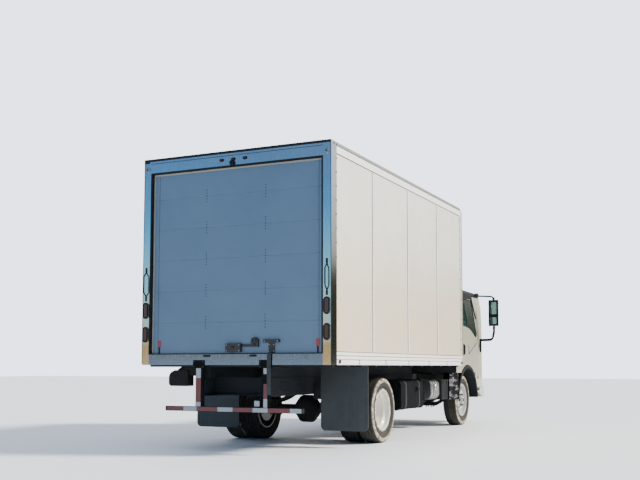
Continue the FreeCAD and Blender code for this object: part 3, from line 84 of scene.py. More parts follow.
def place_camera():
    """Look along the solved yaw and pitch, with the lens axis moved as the crop asks."""
    data = bpy.data.cameras.new("photo_camera")
    data.lens = LENS
    data.sensor_width = 36.0
    data.shift_x, data.shift_y = SHIFT
    data.clip_end = 200.0
    camera = bpy.data.objects.new("photo_camera", data)
    level = math.cos(CAMERA_PITCH)
    ahead = Vector((math.sin(CAMERA_YAW) * level, -math.cos(CAMERA_YAW) * level, math.sin(CAMERA_PITCH)))
    camera.location = CAMERA_PLACE
    camera.rotation_euler = ahead.to_track_quat("-Z", "Y").to_euler()
    bpy.context.scene.collection.objects.link(camera)
    bpy.context.scene.camera = camera


place_camera()


# Shapes. Each is a pair: an array of points and a list of faces that number them.


def grid_faces(rows, columns, wrap_rows=False, wrap_columns=False):
    """Quads of a grid numbered row by row; a wrapped side joins its last line to its first."""
    row = np.arange(rows if wrap_rows else rows - 1)
    column = np.arange(columns if wrap_columns else columns - 1)
    row, column = np.meshgrid(row, column, indexing="ij")
    here, below = row * columns, (row + 1) % rows * columns
    ahead = (column + 1) % columns
    corners = [here + column, here + ahead, below + ahead, below + column]
    return np.stack(corners, -1).reshape(-1, 4).tolist()


def end_faces(rows, columns):
    """The two faces that close a grid whose rows go round: its first row and its last."""
    return [list(range(columns))[::-1], list(range((rows - 1) * columns, rows * columns))]


def unit(vectors):
    """Each row of an array brought to length one."""
    return vectors / np.linalg.norm(vectors, axis=-1, keepdims=True)


def merge(*shapes):
    """Several shapes as one: points one after the other, faces counted on."""
    points, faces, count = [], [], 0
    for place, rings in shapes:
        points.append(place)
        faces += [[corner + count for corner in ring] for ring in rings]
        count += len(place)
    return np.concatenate(points), faces


def copies(shape, places):
    """One shape repeated: every point plus every place, worked out as one array."""
    points, rings = shape
    places = np.asarray(places, float)
    placed = (places[:, None, :] + points[None, :, :]).reshape(-1, 3)
    ring = [np.asarray(face) for face in rings]
    faces = [(face + len(points) * count).tolist() for count in range(len(places)) for face in ring]
    return placed, faces


def mirrored(shape):
    """The same shape on the other side of the truck: x changes its sign."""
    points, rings = shape
    return points * (-1.0, 1.0, 1.0), [ring[::-1] for ring in rings]


def both(shape):
    """A shape and its mirror image."""
    return merge(shape, mirrored(shape))


def sided(shape, side):
    """A shape as it is on the driver's side, 1, or mirrored to the kerb side, -1."""
    return shape if side > 0 else mirrored(shape)


def moved(shape, x, y, z):
    """A shape carried to another place."""
    return shape[0] + (x, y, z), shape[1]


AXES = {
    "X": np.array([[0, 1, 0], [0, 0, 1], [1, 0, 0]]),
    "Y": np.array([[1, 0, 0], [0, 0, 1], [0, 1, 0]]),
    "Z": np.eye(3),
}


def turned(profile, axis, sides):
    """Profile (radius, height) turned round an axis: radius * cos and sin of the angle, then height."""
    profile = np.asarray(profile, float)
    angle = np.linspace(0, 2 * np.pi, sides, endpoint=False)
    radius, height = profile[:, :1], profile[:, 1:]
    flat = np.stack([radius * np.cos(angle), radius * np.sin(angle), np.repeat(height, sides, 1)], -1)
    faces = grid_faces(len(profile), sides, wrap_columns=True) + end_faces(len(profile), sides)
    return flat.reshape(-1, 3) @ AXES[axis], faces


def prism(outline, axis, low, high):
    """A flat outline carried straight along an axis, from low to high, closed by its two ends."""
    outline = np.asarray(outline, float)
    count = len(outline)
    ends = [np.column_stack([outline, np.full(count, level)]) for level in (low, high)]
    faces = grid_faces(2, count, wrap_columns=True) + end_faces(2, count)
    return np.concatenate(ends) @ AXES[axis], faces


def plate(x, y, z, corner=0.0, steps=4):
    """A slab between two values on each axis; seen along its thinnest side its corners are round."""
    spans = {"X": x, "Y": y, "Z": z}
    axis = min(spans, key=lambda name: spans[name][1] - spans[name][0])
    across = {"X": (y, z), "Y": (x, z), "Z": (x, y)}[axis]
    return prism(round_outline(*across, corner, steps), axis, *spans[axis])


def round_outline(u, v, corner, steps):
    """A rectangle with quarter circles at its corners."""
    if not corner:
        return [(u[0], v[0]), (u[1], v[0]), (u[1], v[1]), (u[0], v[1])]
    angle = np.linspace(0, np.pi / 2, steps + 1)
    quarter = corner * np.stack([np.cos(angle), np.sin(angle)], -1)
    turns = []
    for end, (su, sv) in enumerate(((1, 1), (-1, 1), (-1, -1), (1, -1))):
        across = u[1] - corner if su > 0 else u[0] + corner
        up = v[1] - corner if sv > 0 else v[0] + corner
        arc = quarter if end % 2 == 0 else quarter[::-1]
        turns.append(np.array([across, up]) + arc * (su, sv))
    return np.concatenate(turns)


def sweep(path, radius, sides, closed=False, flat=1.0):
    """A circle (or an ellipse, flattened along Z) carried along a path: at each point the ring
    lies across the mean of the two runs that meet there."""
    path = np.asarray(path, float)
    ahead = np.roll(path, -1, 0) - path
    behind = path - np.roll(path, 1, 0)
    if not closed:
        ahead[-1], behind[0] = behind[-1], ahead[0]
    along = unit(unit(ahead) + unit(behind))
    guide = np.where(np.abs(along[:, 2:]) > 0.9, [[1.0, 0.0, 0.0]], [[0.0, 0.0, 1.0]])
    across = unit(np.cross(along, guide))
    up = np.cross(across, along)
    angle = np.linspace(0, 2 * np.pi, sides, endpoint=False)
    rings = path[:, None, :] + radius * (
        across[:, None, :] * np.cos(angle)[:, None] + flat * up[:, None, :] * np.sin(angle)[:, None]
    )
    faces = grid_faces(len(path), sides, wrap_rows=closed, wrap_columns=True)
    if not closed:
        faces += end_faces(len(path), sides)
    return rings.reshape(-1, 3), faces


def smooth_path(corners, steps):
    """A Catmull-Rom curve through the corners: each run is a cubic of its four nearest points."""
    corners = np.asarray(corners, float)
    ends = np.concatenate([[2 * corners[0] - corners[1]], corners, [2 * corners[-1] - corners[-2]]])
    share = np.linspace(0, 1, steps, endpoint=False)[:, None]
    runs = []
    for a, b, c, d in zip(ends, ends[1:], ends[2:], ends[3:]):
        square = (2 * a - 5 * b + 4 * c - d) * share ** 2
        cube = (3 * b - a - 3 * c + d) * share ** 3
        runs.append((2 * b + (c - a) * share + square + cube) / 2)
    return np.concatenate(runs + [corners[-1:]])


def dome(radius, height, axis, sides):
    """A round head: a quarter circle of radius * cos and height * sin, turned round its axis."""
    angle = np.linspace(0, np.pi / 2 - 0.08, 5)
    ring = np.column_stack([radius * np.cos(angle), height * np.sin(angle)])
    return turned(np.concatenate([[[radius, -0.3 * height]], ring]), axis, sides)


def hexagon(radius, height, axis):
    """A hex nut head with a chamfer: six sides turned round the axis."""
    return turned([(radius, 0), (radius, 0.75 * height), (0.84 * radius, height)], axis, 6)


def make(name, shape, finish, body="root", bevel=0.0, segments=2):
    """A shape as a named piece that rides on a body, its doubles merged and its faces outward."""
    points, faces = shape
    data = bpy.data.meshes.new(name)
    data.from_pydata(points.tolist(), [], faces)
    work = bmesh.new()
    work.from_mesh(data)
    bmesh.ops.remove_doubles(work, verts=work.verts, dist=1e-6)
    bmesh.ops.recalc_face_normals(work, faces=work.faces)
    work.to_mesh(data)
    work.free()
    piece = bpy.data.objects.new(name, data)
    bpy.context.scene.collection.objects.link(piece)
    data.materials.append(MATERIALS[finish])
    data.shade_smooth()
    data.set_sharp_from_angle(angle=math.radians(35))
    if bevel:
        edge = piece.modifiers.new("edge", "BEVEL")
        edge.width = bevel
        edge.segments = segments
        edge.limit_method = "ANGLE"
    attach(piece, body)
    return piece


# Shader helpers.


def new_group(name, inputs, outputs):
    """An empty shader group with named sockets, given as (name, type, default)."""
    tree = bpy.data.node_groups.new(name, "ShaderNodeTree")
    for label, kind, value in inputs:
        socket = tree.interface.new_socket(label, in_out="INPUT", socket_type="NodeSocket" + kind)
        socket.default_value = value
    for label, kind in outputs:
        tree.interface.new_socket(label, in_out="OUTPUT", socket_type="NodeSocket" + kind)
    return tree, tree.nodes.new("NodeGroupInput"), tree.nodes.new("NodeGroupOutput")


def new_material(name):
    """A new material, its tree and its Principled shader."""
    material = bpy.data.materials.new(name)
    material.use_nodes = True
    return material, material.node_tree, material.node_tree.nodes["Principled BSDF"]


def placed_group(tree, group, **values):
    """A shader group as a node, with its inputs' values by name (an underscore for each space)."""
    node = tree.nodes.new("ShaderNodeGroup")
    node.node_tree = group
    for label, value in values.items():
        node.inputs[label.replace("_", " ")].default_value = value
    return node


def wire(tree, pairs):
    """Link each pair, an output to an input."""
    for start, end in pairs:
        tree.links.new(start, end)


def feed(tree, slot, value):
    """Give an input a socket or a plain value."""
    if isinstance(value, bpy.types.NodeSocket):
        tree.links.new(value, slot)
    else:
        slot.default_value = value


def math_node(tree, operation, *values):
    """A Math node with numbers or sockets on its inputs; returns its output."""
    node = tree.nodes.new("ShaderNodeMath")
    node.operation = operation
    for slot, value in zip(node.inputs, values):
        feed(tree, slot, value)
    return node.outputs[0]


def arithmetic(operation):
    """A function that joins numbers or sockets by one operation of a Math node."""
    return lambda tree, *values: math_node(tree, operation, *values)


plus, less, times = arithmetic("ADD"), arithmetic("SUBTRACT"), arithmetic("MULTIPLY")
over, aside = arithmetic("DIVIDE"), arithmetic("ABSOLUTE")
larger, smaller = arithmetic("MAXIMUM"), arithmetic("MINIMUM")


def span(tree, across, up):
    """The length of a flat offset: the root of the sum of its squares."""
    return math_node(tree, "SQRT", plus(tree, times(tree, across, across), times(tree, up, up)))


def place_on(tree):
    """The place on the piece in metres."""
    return tree.nodes.new("ShaderNodeTexCoord").outputs["Object"]


def parts_of(tree, vector):
    """A vector's parts, by the names X, Y and Z."""
    split = tree.nodes.new("ShaderNodeSeparateXYZ")
    tree.links.new(vector, split.inputs[0])
    return split.outputs


def stretched(tree, vector, scale):
    """A vector with each part multiplied by its own number."""
    node = tree.nodes.new("ShaderNodeMapping")
    node.inputs["Scale"].default_value = scale
    tree.links.new(vector, node.inputs["Vector"])
    return node.outputs[0]


def noise(tree, vector, scale, detail, rough=0.55):
    """Noise at a vector, from 0 to 1; the scale is a number or a socket."""
    node = tree.nodes.new("ShaderNodeTexNoise")
    node.inputs["Detail"].default_value = detail
    node.inputs["Roughness"].default_value = rough
    tree.links.new(vector, node.inputs["Vector"])
    feed(tree, node.inputs["Scale"], scale)
    return node.outputs["Fac"]


def ramp(tree, factor, low, high):
    """A smooth step from 0 at low to 1 at high."""
    node = tree.nodes.new("ShaderNodeMapRange")
    node.interpolation_type = "SMOOTHSTEP"
    tree.links.new(factor, node.inputs["Value"])
    node.inputs["From Min"].default_value = low
    node.inputs["From Max"].default_value = high
    return node.outputs["Result"]


def blend_colour(tree, factor, first, second):
    """The first colour where the factor is 0, the second where it is 1; colours or sockets."""
    node = tree.nodes.new("ShaderNodeMix")
    node.data_type = "RGBA"
    tree.links.new(factor, node.inputs["Factor"])
    for value, label in ((first, "A"), (second, "B")):
        slot = next(s for s in node.inputs if s.name == label and s.type == "RGBA")
        feed(tree, slot, (*value, 1.0) if isinstance(value, tuple) else value)
    return next(s for s in node.outputs if s.type == "RGBA")


def make_road_dust():
    """Dust that gathers towards the road, in blotches and drips, as a colour and a mask."""
    tree, source, sink = new_group(
        "road_dust",
        [("Colour", "Color", (0.8, 0.8, 0.8, 1)), ("Dust", "Color", (0.33, 0.29, 0.24, 1)),
         ("Amount", "Float", 0.5), ("Height", "Float", 1.2)],
        [("Colour", "Color"), ("Mask", "Float")],
    )
    where = place_on(tree)
    low = less(tree, 1.0, over(tree, parts_of(tree, where)["Z"], source.outputs["Height"]))
    low = larger(tree, low, 0.06)
    blotch = ramp(tree, noise(tree, where, 2.6, 5.0, 0.6), 0.3, 0.75)
    fine = noise(tree, where, 34.0, 4.0, 0.7)
    upright = stretched(tree, where, (22.0, 22.0, 1.3))
    drips = ramp(tree, noise(tree, upright, 1.0, 3.0, 0.6), 0.45, 0.8)
    cloud = times(tree, plus(tree, blotch, times(tree, drips, 0.5)), fine)
    mask = times(tree, times(tree, low, cloud), source.outputs["Amount"])
    mask = smaller(tree, times(tree, mask, 1.6), 1.0)
    mixed = blend_colour(tree, mask, source.outputs["Colour"], source.outputs["Dust"])
    wire(tree, [(mixed, sink.inputs["Colour"]), (mask, sink.inputs["Mask"])])
    return tree


def make_fine_bump():
    """A height of fine grain over a slow wave, for paint, plastic and laminate."""
    tree, source, sink = new_group(
        "fine_bump",
        [("Grain", "Float", 400.0), ("Wave", "Float", 3.0), ("Grain Share", "Float", 0.3)],
        [("Height", "Float")],
    )
    where = place_on(tree)
    share = source.outputs["Grain Share"]
    grain = noise(tree, where, source.outputs["Grain"], 2.0, 0.5)
    wave = noise(tree, where, source.outputs["Wave"], 2.0, 0.5)
    height = plus(tree, times(tree, grain, share), times(tree, wave, less(tree, 1.0, share)))
    wire(tree, [(height, sink.inputs["Height"])])
    return tree


def make_brushed():
    """Long hair lines along Z, as a roughness change and a height, for rolled steel."""
    tree, source, sink = new_group(
        "brushed", [("Lines", "Float", 500.0)], [("Rough", "Float"), ("Height", "Float")]
    )
    upright = stretched(tree, place_on(tree), (1.0, 1.0, 0.012))
    hair = noise(tree, upright, source.outputs["Lines"], 3.0, 0.5)
    wire(tree, [(hair, sink.inputs["Height"]), (ramp(tree, hair, 0.3, 0.7), sink.inputs["Rough"])])
    return tree


def make_ring_sun_and_shade():
    """Where a painted ring lies at a distance from an axle along X, for painted sunlight on a tyre's side
    wall and painted shade at a wheel's rim: a soft band round one radius, and more of it in blotches, from 0
    to 1."""
    tree, source, sink = new_group(
        "ring_sun_and_shade",
        [("Axle Y", "Float", 0.0), ("Axle Z", "Float", 0.4), ("Radius", "Float", 0.19),
         ("Width", "Float", 0.04)],
        [("Mask", "Float")],
    )
    where = place_on(tree)
    at = parts_of(tree, where)
    along = less(tree, at["Y"], source.outputs["Axle Y"])
    up = less(tree, at["Z"], source.outputs["Axle Z"])
    offset = aside(tree, less(tree, span(tree, along, up), source.outputs["Radius"]))
    band = larger(tree, less(tree, 1.0, over(tree, offset, source.outputs["Width"])), 0.0)
    band = smaller(tree, times(tree, band, 2.5), 1.0)
    blotch = ramp(tree, noise(tree, where, 21.0, 7.0, 0.75), 0.45, 0.55)
    mask = times(tree, band, plus(tree, times(tree, blotch, 0.8), 0.2))
    wire(tree, [(mask, sink.inputs["Mask"])])
    return tree


ROAD_DUST = make_road_dust()
FINE_BUMP = make_fine_bump()
BRUSHED = make_brushed()
RING_SUN_AND_SHADE = make_ring_sun_and_shade()


# How far a surface's roughness runs from its smoothest to its roughest spot.
ROUGH_SPREAD = 0.08


def surface(
    name, colour, rough, metal=0.0, coat=0.0, dust=0.3, dust_colour=(0.30, 0.27, 0.23), dust_height=1.3,
    grain=300.0, wave=3.0, share=0.4, bump=0.02, specular=0.5, brushed=0.0, tint=None,
):
    """A material with its own colour drift, road dust, grain and a slow wave in its bump."""
    material, tree, shader = new_material(name)
    shader.inputs["Metallic"].default_value = metal
    shader.inputs["Coat Roughness"].default_value = 0.06
    shader.inputs["Specular IOR Level"].default_value = specular
    shader.inputs["Coat Weight"].default_value = coat
    where = place_on(tree)
    drift = ramp(tree, noise(tree, where, 1.7, 4.0, 0.6), 0.35, 0.7)
    base = blend_colour(tree, drift, colour, tint or tuple(c * 0.93 for c in colour))
    dirt = placed_group(tree, ROAD_DUST, Dust=(*dust_colour, 1.0), Amount=dust, Height=dust_height)
    wire(tree, [(base, dirt.inputs["Colour"]), (dirt.outputs["Colour"], shader.inputs["Base Color"])])
    level = plus(tree, times(tree, noise(tree, where, 60.0, 3.0), ROUGH_SPREAD), rough - ROUGH_SPREAD / 2)
    level = plus(tree, level, times(tree, dirt.outputs["Mask"], 0.4))
    if brushed:
        height = placed_group(tree, BRUSHED, Lines=brushed)
        level = plus(tree, level, times(tree, height.outputs["Rough"], 0.12))
    else:
        height = placed_group(tree, FINE_BUMP, Grain=grain, Wave=wave, Grain_Share=share)
    lift = tree.nodes.new("ShaderNodeBump")
    lift.inputs["Strength"].default_value = bump
    lift.inputs["Distance"].default_value = 0.02
    wire(tree, [
        (smaller(tree, level, 1.0), shader.inputs["Roughness"]),
        (height.outputs["Height"], lift.inputs["Height"]), (lift.outputs["Normal"], shader.inputs["Normal"]),
    ])
    return material


def glass_material(name, colour):
    """Tinted glass that lets the inside show, with a faint film of dust."""
    material, tree, shader = new_material(name)
    shader.inputs["Transmission Weight"].default_value = 0.9
    shader.inputs["IOR"].default_value = 1.25
    shader.inputs["Specular IOR Level"].default_value = 0.12
    film = ramp(tree, noise(tree, place_on(tree), 5.0, 5.0), 0.4, 0.8)
    dusty = tuple(min(1.0, c * 1.15 + 0.01) for c in colour)
    wire(tree, [
        (blend_colour(tree, film, colour, dusty), shader.inputs["Base Color"]),
        (plus(tree, times(tree, film, 0.02), 0.01), shader.inputs["Roughness"]),
    ])
    return material


def mirror_material(name, colour):
    """Silvered glass: a bright metal with the faintest film of dust in its roughness."""
    material, tree, shader = new_material(name)
    shader.inputs["Metallic"].default_value = 1.0
    film = ramp(tree, noise(tree, place_on(tree), 24.0, 5.0), 0.45, 0.85)
    wire(tree, [
        (blend_colour(tree, film, colour, tuple(c * 0.9 for c in colour)), shader.inputs["Base Color"]),
        (plus(tree, times(tree, film, 0.12), 0.03), shader.inputs["Roughness"]),
    ])
    return material


def ringed(material, axle, colour, radius, width):
    """Lay a painted ring on a wheel or tyre at one distance from its axle, painted shade at a wheel's rim and
    painted sunlight on a tyre's side wall, and paint shade over its inner side."""
    tree = material.node_tree
    base = tree.nodes["Principled BSDF"].inputs["Base Color"]
    ring = placed_group(tree, RING_SUN_AND_SHADE, Axle_Y=axle, Axle_Z=TYRE_RADIUS, Radius=radius, Width=width)
    ring_painted = blend_colour(tree, ring.outputs["Mask"], base.links[0].from_socket, colour)
    # Painted shade: the inner side, nearer the frame, goes nearly black.
    inside = ramp(tree, aside(tree, parts_of(tree, place_on(tree))["X"]), 0.84, 0.80)
    tree.links.new(blend_colour(tree, inside, ring_painted, (0.022, 0.021, 0.020)), base)
    return material


def painted(material, *zones, coat=None):
    """Lay colours over a surface, each where a mask of the place (x, y, z) picks it out; where a
    coat is given, the clear coat of that strength stops at the last mask."""
    tree = material.node_tree
    shader = tree.nodes["Principled BSDF"]
    where = place_on(tree)
    at = parts_of(tree, where)
    top = shader.inputs["Base Color"].links[0].from_socket
    for mask, colour in zones:
        picked = mask(tree, where, at)
        top = blend_colour(tree, picked, top, colour)
    tree.links.new(top, shader.inputs["Base Color"])
    if coat is not None:
        tree.links.new(times(tree, less(tree, 1.0, picked), coat), shader.inputs["Coat Weight"])
    return material


# Masks, each 1 inside its zone and 0 outside it.


def wall_rails(tree, where, at):
    """The rails along the top and the foot of the body's walls."""
    high = ramp(tree, at["Z"], TOP_RAIL - 0.001, TOP_RAIL + 0.001)
    low = ramp(tree, at["Z"], LOW_RAIL + 0.001, LOW_RAIL - 0.001)
    return larger(tree, high, low)


def wall_ground_reflection(tree, where, at):
    """A painted tan reflection of the ground over the lower half of the body's walls, in slow clouds."""
    clouds = plus(tree, times(tree, noise(tree, where, 0.9, 4.0), 0.5), 0.7)
    low = times(tree, ramp(tree, at["Z"], 2.75, 1.45), ramp(tree, at["Z"], LOW_RAIL - 0.002, LOW_RAIL))
    return smaller(tree, times(tree, low, clouds), 1.0)


def shaded_post_flanks(tree, where, at):
    """Painted shade: the dull, dark lower part of the rear posts' outer sides."""
    outside = ramp(tree, aside(tree, at["X"]), BOX_HALF - 0.005, BOX_HALF - 0.002)
    return times(tree, outside, ramp(tree, at["Z"], 2.20, 1.80))


def post_feet_ground_reflection(tree, where, at):
    """The feet of the rear posts, where the steel carries a painted warm reflection of the ground."""
    outside = ramp(tree, aside(tree, at["X"]), POST_IN - 0.003, POST_IN + 0.003)
    return times(tree, outside, ramp(tree, at["Z"], 1.290, 1.160))


def shaded_frame_sill(tree, where, at):
    """The sill between the rear posts, where the steel carries painted blue shade."""
    inside = ramp(tree, aside(tree, at["X"]), POST_IN + 0.003, POST_IN - 0.003)
    return times(tree, inside, ramp(tree, at["Z"], 1.105, 1.080))


def roof_shoulder(tree, where, at):
    """The dark band round the shoulder of the cab's roof."""
    outside = ramp(tree, aside(tree, at["X"]), 0.80, 0.81)
    ahead = ramp(tree, at["Y"], -2.98, -3.00)
    return times(tree, larger(tree, outside, ahead), ramp(tree, at["Z"], 2.112, 2.120))


def splashes(tree, where, at):
    """Pale splashes dried on black plastic."""
    return ramp(tree, noise(tree, where, 15.0, 6.0, 0.7), 0.50, 0.60)


def headlamp_bowls(tree, where, at):
    """Two round reflectors behind a headlamp's lens, by the distance from the nearer centre."""
    up = less(tree, at["Z"], BOWL_HEIGHT)
    reach = [span(tree, less(tree, aside(tree, at["X"]), centre), up) for centre in BOWL_PLACES]
    return ramp(tree, smaller(tree, *reach), BOWL_RADIUS, BOWL_RADIUS - 0.006)


def headlamp_turn(tree, where, at):
    """The amber end of a headlamp's lens, at the cab's corner."""
    return ramp(tree, aside(tree, at["X"]), 0.915, 0.919)


# The cab is white; its colour here is darkened to an olive grey as painted shade.
CAB_SHADED_WHITE = (0.395, 0.398, 0.305)
CAB_DUST = (0.50, 0.44, 0.36)
MATERIALS = {
    "panel": painted(
        surface("laminate_white", (0.79, 0.78, 0.71), 0.16, coat=0.6, dust=0.5,
                dust_colour=(0.62, 0.52, 0.42), dust_height=2.7, grain=90, wave=1.1, share=0.12, bump=0.05),
        # The walls' lower half carries a painted tan reflection of the ground; the rails are whiter.
        (wall_ground_reflection, (0.74, 0.63, 0.47)), (wall_rails, (0.98, 0.97, 0.93)),
    ),
    "rail": surface("rail_aluminium", (0.93, 0.92, 0.89), 0.32, metal=0.2, brushed=300, bump=0.03),
    # The rear door is white; its colour, tint and dust colour here are painted blue shade.
    "rear_door": surface("door_white_painted_shade", (0.092, 0.150, 0.234), 0.34, dust=0.2,
                         dust_colour=(0.155, 0.205, 0.27), dust_height=2.4, grain=160, wave=2.0, share=0.2,
                         bump=0.05, tint=(0.083, 0.139, 0.219)),
    # Stainless steel with painted light and shade on it: a warm reflection of the ground at the posts' feet,
    # blue shade on the sill, and shade on the lower outer flanks.
    "stainless": painted(
        surface("stainless_posts", (0.60, 0.67, 0.73), 0.07, metal=1.0, dust=0.05, brushed=500, bump=0.015),
        (post_feet_ground_reflection, (0.52, 0.40, 0.25)), (shaded_frame_sill, (0.155, 0.215, 0.33)),
        (shaded_post_flanks, (0.13, 0.14, 0.12)),
    ),
    "cab": surface("cab_white", CAB_SHADED_WHITE, 0.2, coat=0.8, dust_colour=CAB_DUST, dust_height=1.8, grain=500,
                   wave=4.0, share=0.2, bump=0.015),
    "cab_top": painted(
        surface("cab_roof_white", CAB_SHADED_WHITE, 0.45, dust_colour=CAB_DUST, grain=500, wave=4.0, share=0.2,
                bump=0.015, specular=0.05),
        (roof_shoulder, (0.012, 0.015, 0.015)), coat=0.8,
    ),
    # Chassis, castings, black steel and black plastic: their road dust is kept nearly black, as painted shade
    # under the body.
    "chassis": surface("chassis_black", (0.014, 0.017, 0.020), 0.6, dust_colour=(0.045, 0.05, 0.055),
                       dust_height=1.4, grain=60, share=0.5, bump=0.08, specular=0.1),
    "casting": surface("axle_castings", (0.018, 0.018, 0.019), 0.7, dust=0.4, dust_colour=(0.06, 0.055, 0.05),
                       dust_height=1.4, grain=45, share=0.7, bump=0.2, specular=0.12),
    # The black steel is darkened further still, as painted shade of the body over the fuel tank.
    "black_steel": surface("guard_black", (0.006, 0.008, 0.009), 0.75, dust=0.1,
                           dust_colour=(0.045, 0.05, 0.05), grain=120, share=0.5, bump=0.05, specular=0.03),
    "plastic": surface("black_plastic", (0.012, 0.014, 0.016), 0.62, dust=0.25,
                       dust_colour=(0.055, 0.055, 0.055), grain=700, share=0.8, bump=0.12, specular=0.1),
    "rubber": surface("flap_rubber", (0.020, 0.026, 0.031), 0.55, dust=0.6, dust_colour=(0.08, 0.09, 0.10),
                      grain=220, share=0.6, bump=0.12),
    "splash": painted(
        surface("dried_splash", (0.020, 0.020, 0.022), 0.6, dust=0.5, dust_colour=(0.10, 0.09, 0.09),
                grain=60, share=0.7, bump=0.2),
        (splashes, (0.62, 0.54, 0.54)),
    ),
    "edge": surface("roof_edge", (0.15, 0.155, 0.135), 0.5, share=0.5, bump=0.05),
    "seal": surface("seal_rubber", (0.008, 0.009, 0.011), 0.7, dust=0.15, dust_colour=(0.05, 0.05, 0.05),
                    grain=500, share=0.7, bump=0.08, specular=0.15),
    "lip": surface("seal_lip", (0.30, 0.29, 0.25), 0.5, dust=0.2, grain=400, share=0.7, bump=0.06),
    "lamp_red": surface("lamp_red", (0.045, 0.005, 0.008), 0.12, coat=0.5, dust=0.2, grain=900, share=0.8,
                        bump=0.03),
    "lamp_clear": painted(
        surface("lamp_clear", (0.115, 0.125, 0.135), 0.08, coat=1.0, dust=0.2, grain=120, share=0.8,
                bump=0.05),
        (headlamp_bowls, (0.74, 0.77, 0.80)), (headlamp_turn, (0.60, 0.17, 0.02)),
    ),
    "amber": surface("lamp_amber", (0.62, 0.20, 0.03), 0.14, coat=1.0, dust=0.2, grain=900, share=0.8,
                     bump=0.03),
    "tag": surface("tag_red", (0.23, 0.030, 0.042), 0.4, share=0.6, bump=0.04),
    "tape_red": surface("tape_red", (0.115, 0.016, 0.020), 0.28, dust=0.4, dust_colour=(0.14, 0.09, 0.09),
                        grain=260, share=0.7, bump=0.06),
    # White reflective tape, darkened to a blue grey as painted shade.
    "tape_white_in_shade": surface("tape_white_in_shade", (0.29, 0.325, 0.36), 0.24, grain=260, share=0.7, bump=0.06),
    "webbing": surface("webbing_black", (0.025, 0.028, 0.032), 0.85, dust=0.5, dust_colour=(0.16, 0.17, 0.18),
                       grain=900, share=0.9, bump=0.4),
    "zinc": surface("latch_black", (0.022, 0.022, 0.025), 0.38, metal=0.3, dust=0.4,
                    dust_colour=(0.10, 0.08, 0.07), grain=200, bump=0.06),
    "bolt": surface("zinc_bolts", (0.42, 0.42, 0.41), 0.35, metal=1.0, dust=0.6, grain=500, share=0.7,
                    bump=0.05),
    "dark_bolt": surface("dark_bolts", (0.022, 0.022, 0.021), 0.6, metal=0.1, dust=0.2,
                         dust_colour=(0.08, 0.075, 0.07), grain=500, share=0.7, bump=0.1, specular=0.2),
    "shield": surface("pressed_aluminium", (0.42, 0.43, 0.42), 0.30, metal=1.0, dust=0.6, grain=60, wave=14,
                      share=0.3, bump=0.3),
    "chrome": surface("lamp_reflector", (0.9, 0.9, 0.92), 0.06, metal=1.0, dust=0.0, grain=200, bump=0.01),
    "seat": surface("seat_cloth", (0.10, 0.105, 0.115), 0.9, dust=0.1, grain=900, share=0.9, bump=0.3),
    "dash": surface("dash_plastic", (0.07, 0.07, 0.075), 0.6, dust=0.1, grain=600, share=0.8, bump=0.1),
    "wood": surface("floor_wood", (0.30, 0.20, 0.12), 0.6, grain=80, share=0.6, bump=0.1),
    # Tinted glass, its tint darkened as painted shade of the cab's inside.
    "glass": glass_material("door_glass", (0.09, 0.15, 0.13)),
    "clear_glass": glass_material("cab_glass", (0.46, 0.56, 0.53)),
    "mirror": mirror_material("mirror_glass", (0.17, 0.31, 0.36)),
}
for end, axle, enamel in (("front", AXLE_FRONT, (0.50, 0.53, 0.53)), ("rear", AXLE_REAR, (0.78, 0.76, 0.67))):
    wheel = surface("wheel_enamel_" + end, enamel, 0.34, coat=0.3, dust=0.5, dust_colour=(0.34, 0.27, 0.20),
                    grain=240, share=0.4, bump=0.04)
    rubber = surface("tyre_rubber_" + end, (0.026, 0.026, 0.023), 0.85, specular=0.2, dust=0.4,
                     dust_colour=(0.12, 0.11, 0.09), dust_height=1.4, grain=160, share=0.7, bump=0.15)
    # A wheel's dark ring at its rim is painted shade; a tyre's tan ring on its side wall is painted sunlight.
    MATERIALS["wheel_" + end] = ringed(wheel, axle, (0.06, 0.05, 0.035), 0.262, 0.016)
    MATERIALS["tyre_" + end] = ringed(rubber, axle, (0.47, 0.42, 0.33), 0.366, 0.027)

# The finish of each of the frame's nodes.
NODE_FINISHES = {
    "panel": ["box_wall_left", "box_wall_right", "box_front_wall", "box_roof"],
    "rear_door": ["rear_door"],
    "stainless": ["rear_frame"],
    "cab": ["cab_front_panel", "door_left", "door_right", "front_bumper"],
    "cab_top": ["cab_shell", "cab_roof"],
    "chassis": ["frame_rail_left", "frame_rail_right", "frame_crossmembers", "box_beams", "box_sills",
                "driveshaft", "leaf_springs", "cab_floor"],
    "casting": ["front_axle", "rear_axle", "knuckle_left", "knuckle_right", "engine_and_gearbox",
                "exhaust_pipe"],
    "black_steel": ["underride_guard", "fuel_tank", "grab_handles"],
    "plastic": ["wheel_arches", "mirrors", "battery_box", "cab_mounts"],
    "rubber": ["mud_flaps"],
    "wheel_front": ["wheel_front_left", "wheel_front_right"],
    "wheel_rear": ["wheels_rear_left", "wheels_rear_right"],
    "tyre_front": ["tyre_front_left", "tyre_front_right"],
    "tyre_rear": ["tyres_rear_left", "tyres_rear_right"],
    "lamp_red": ["body_lamps"],
    "lamp_clear": ["front_lamps"],
    "zinc": ["door_latch"],
    "shield": ["exhaust_canister"],
    "seat": ["seats"],
    "dash": ["dashboard", "steering_wheel"],
    "wood": ["box_floor"],
    "glass": ["door_glass_left", "door_glass_right"],
    "clear_glass": ["cab_glass"],
}
for finish, names in NODE_FINISHES.items():
    for name in names:
        data = nodes[name].data
        data.materials.clear()
        data.materials.append(MATERIALS[finish])


# Tyres and wheels.

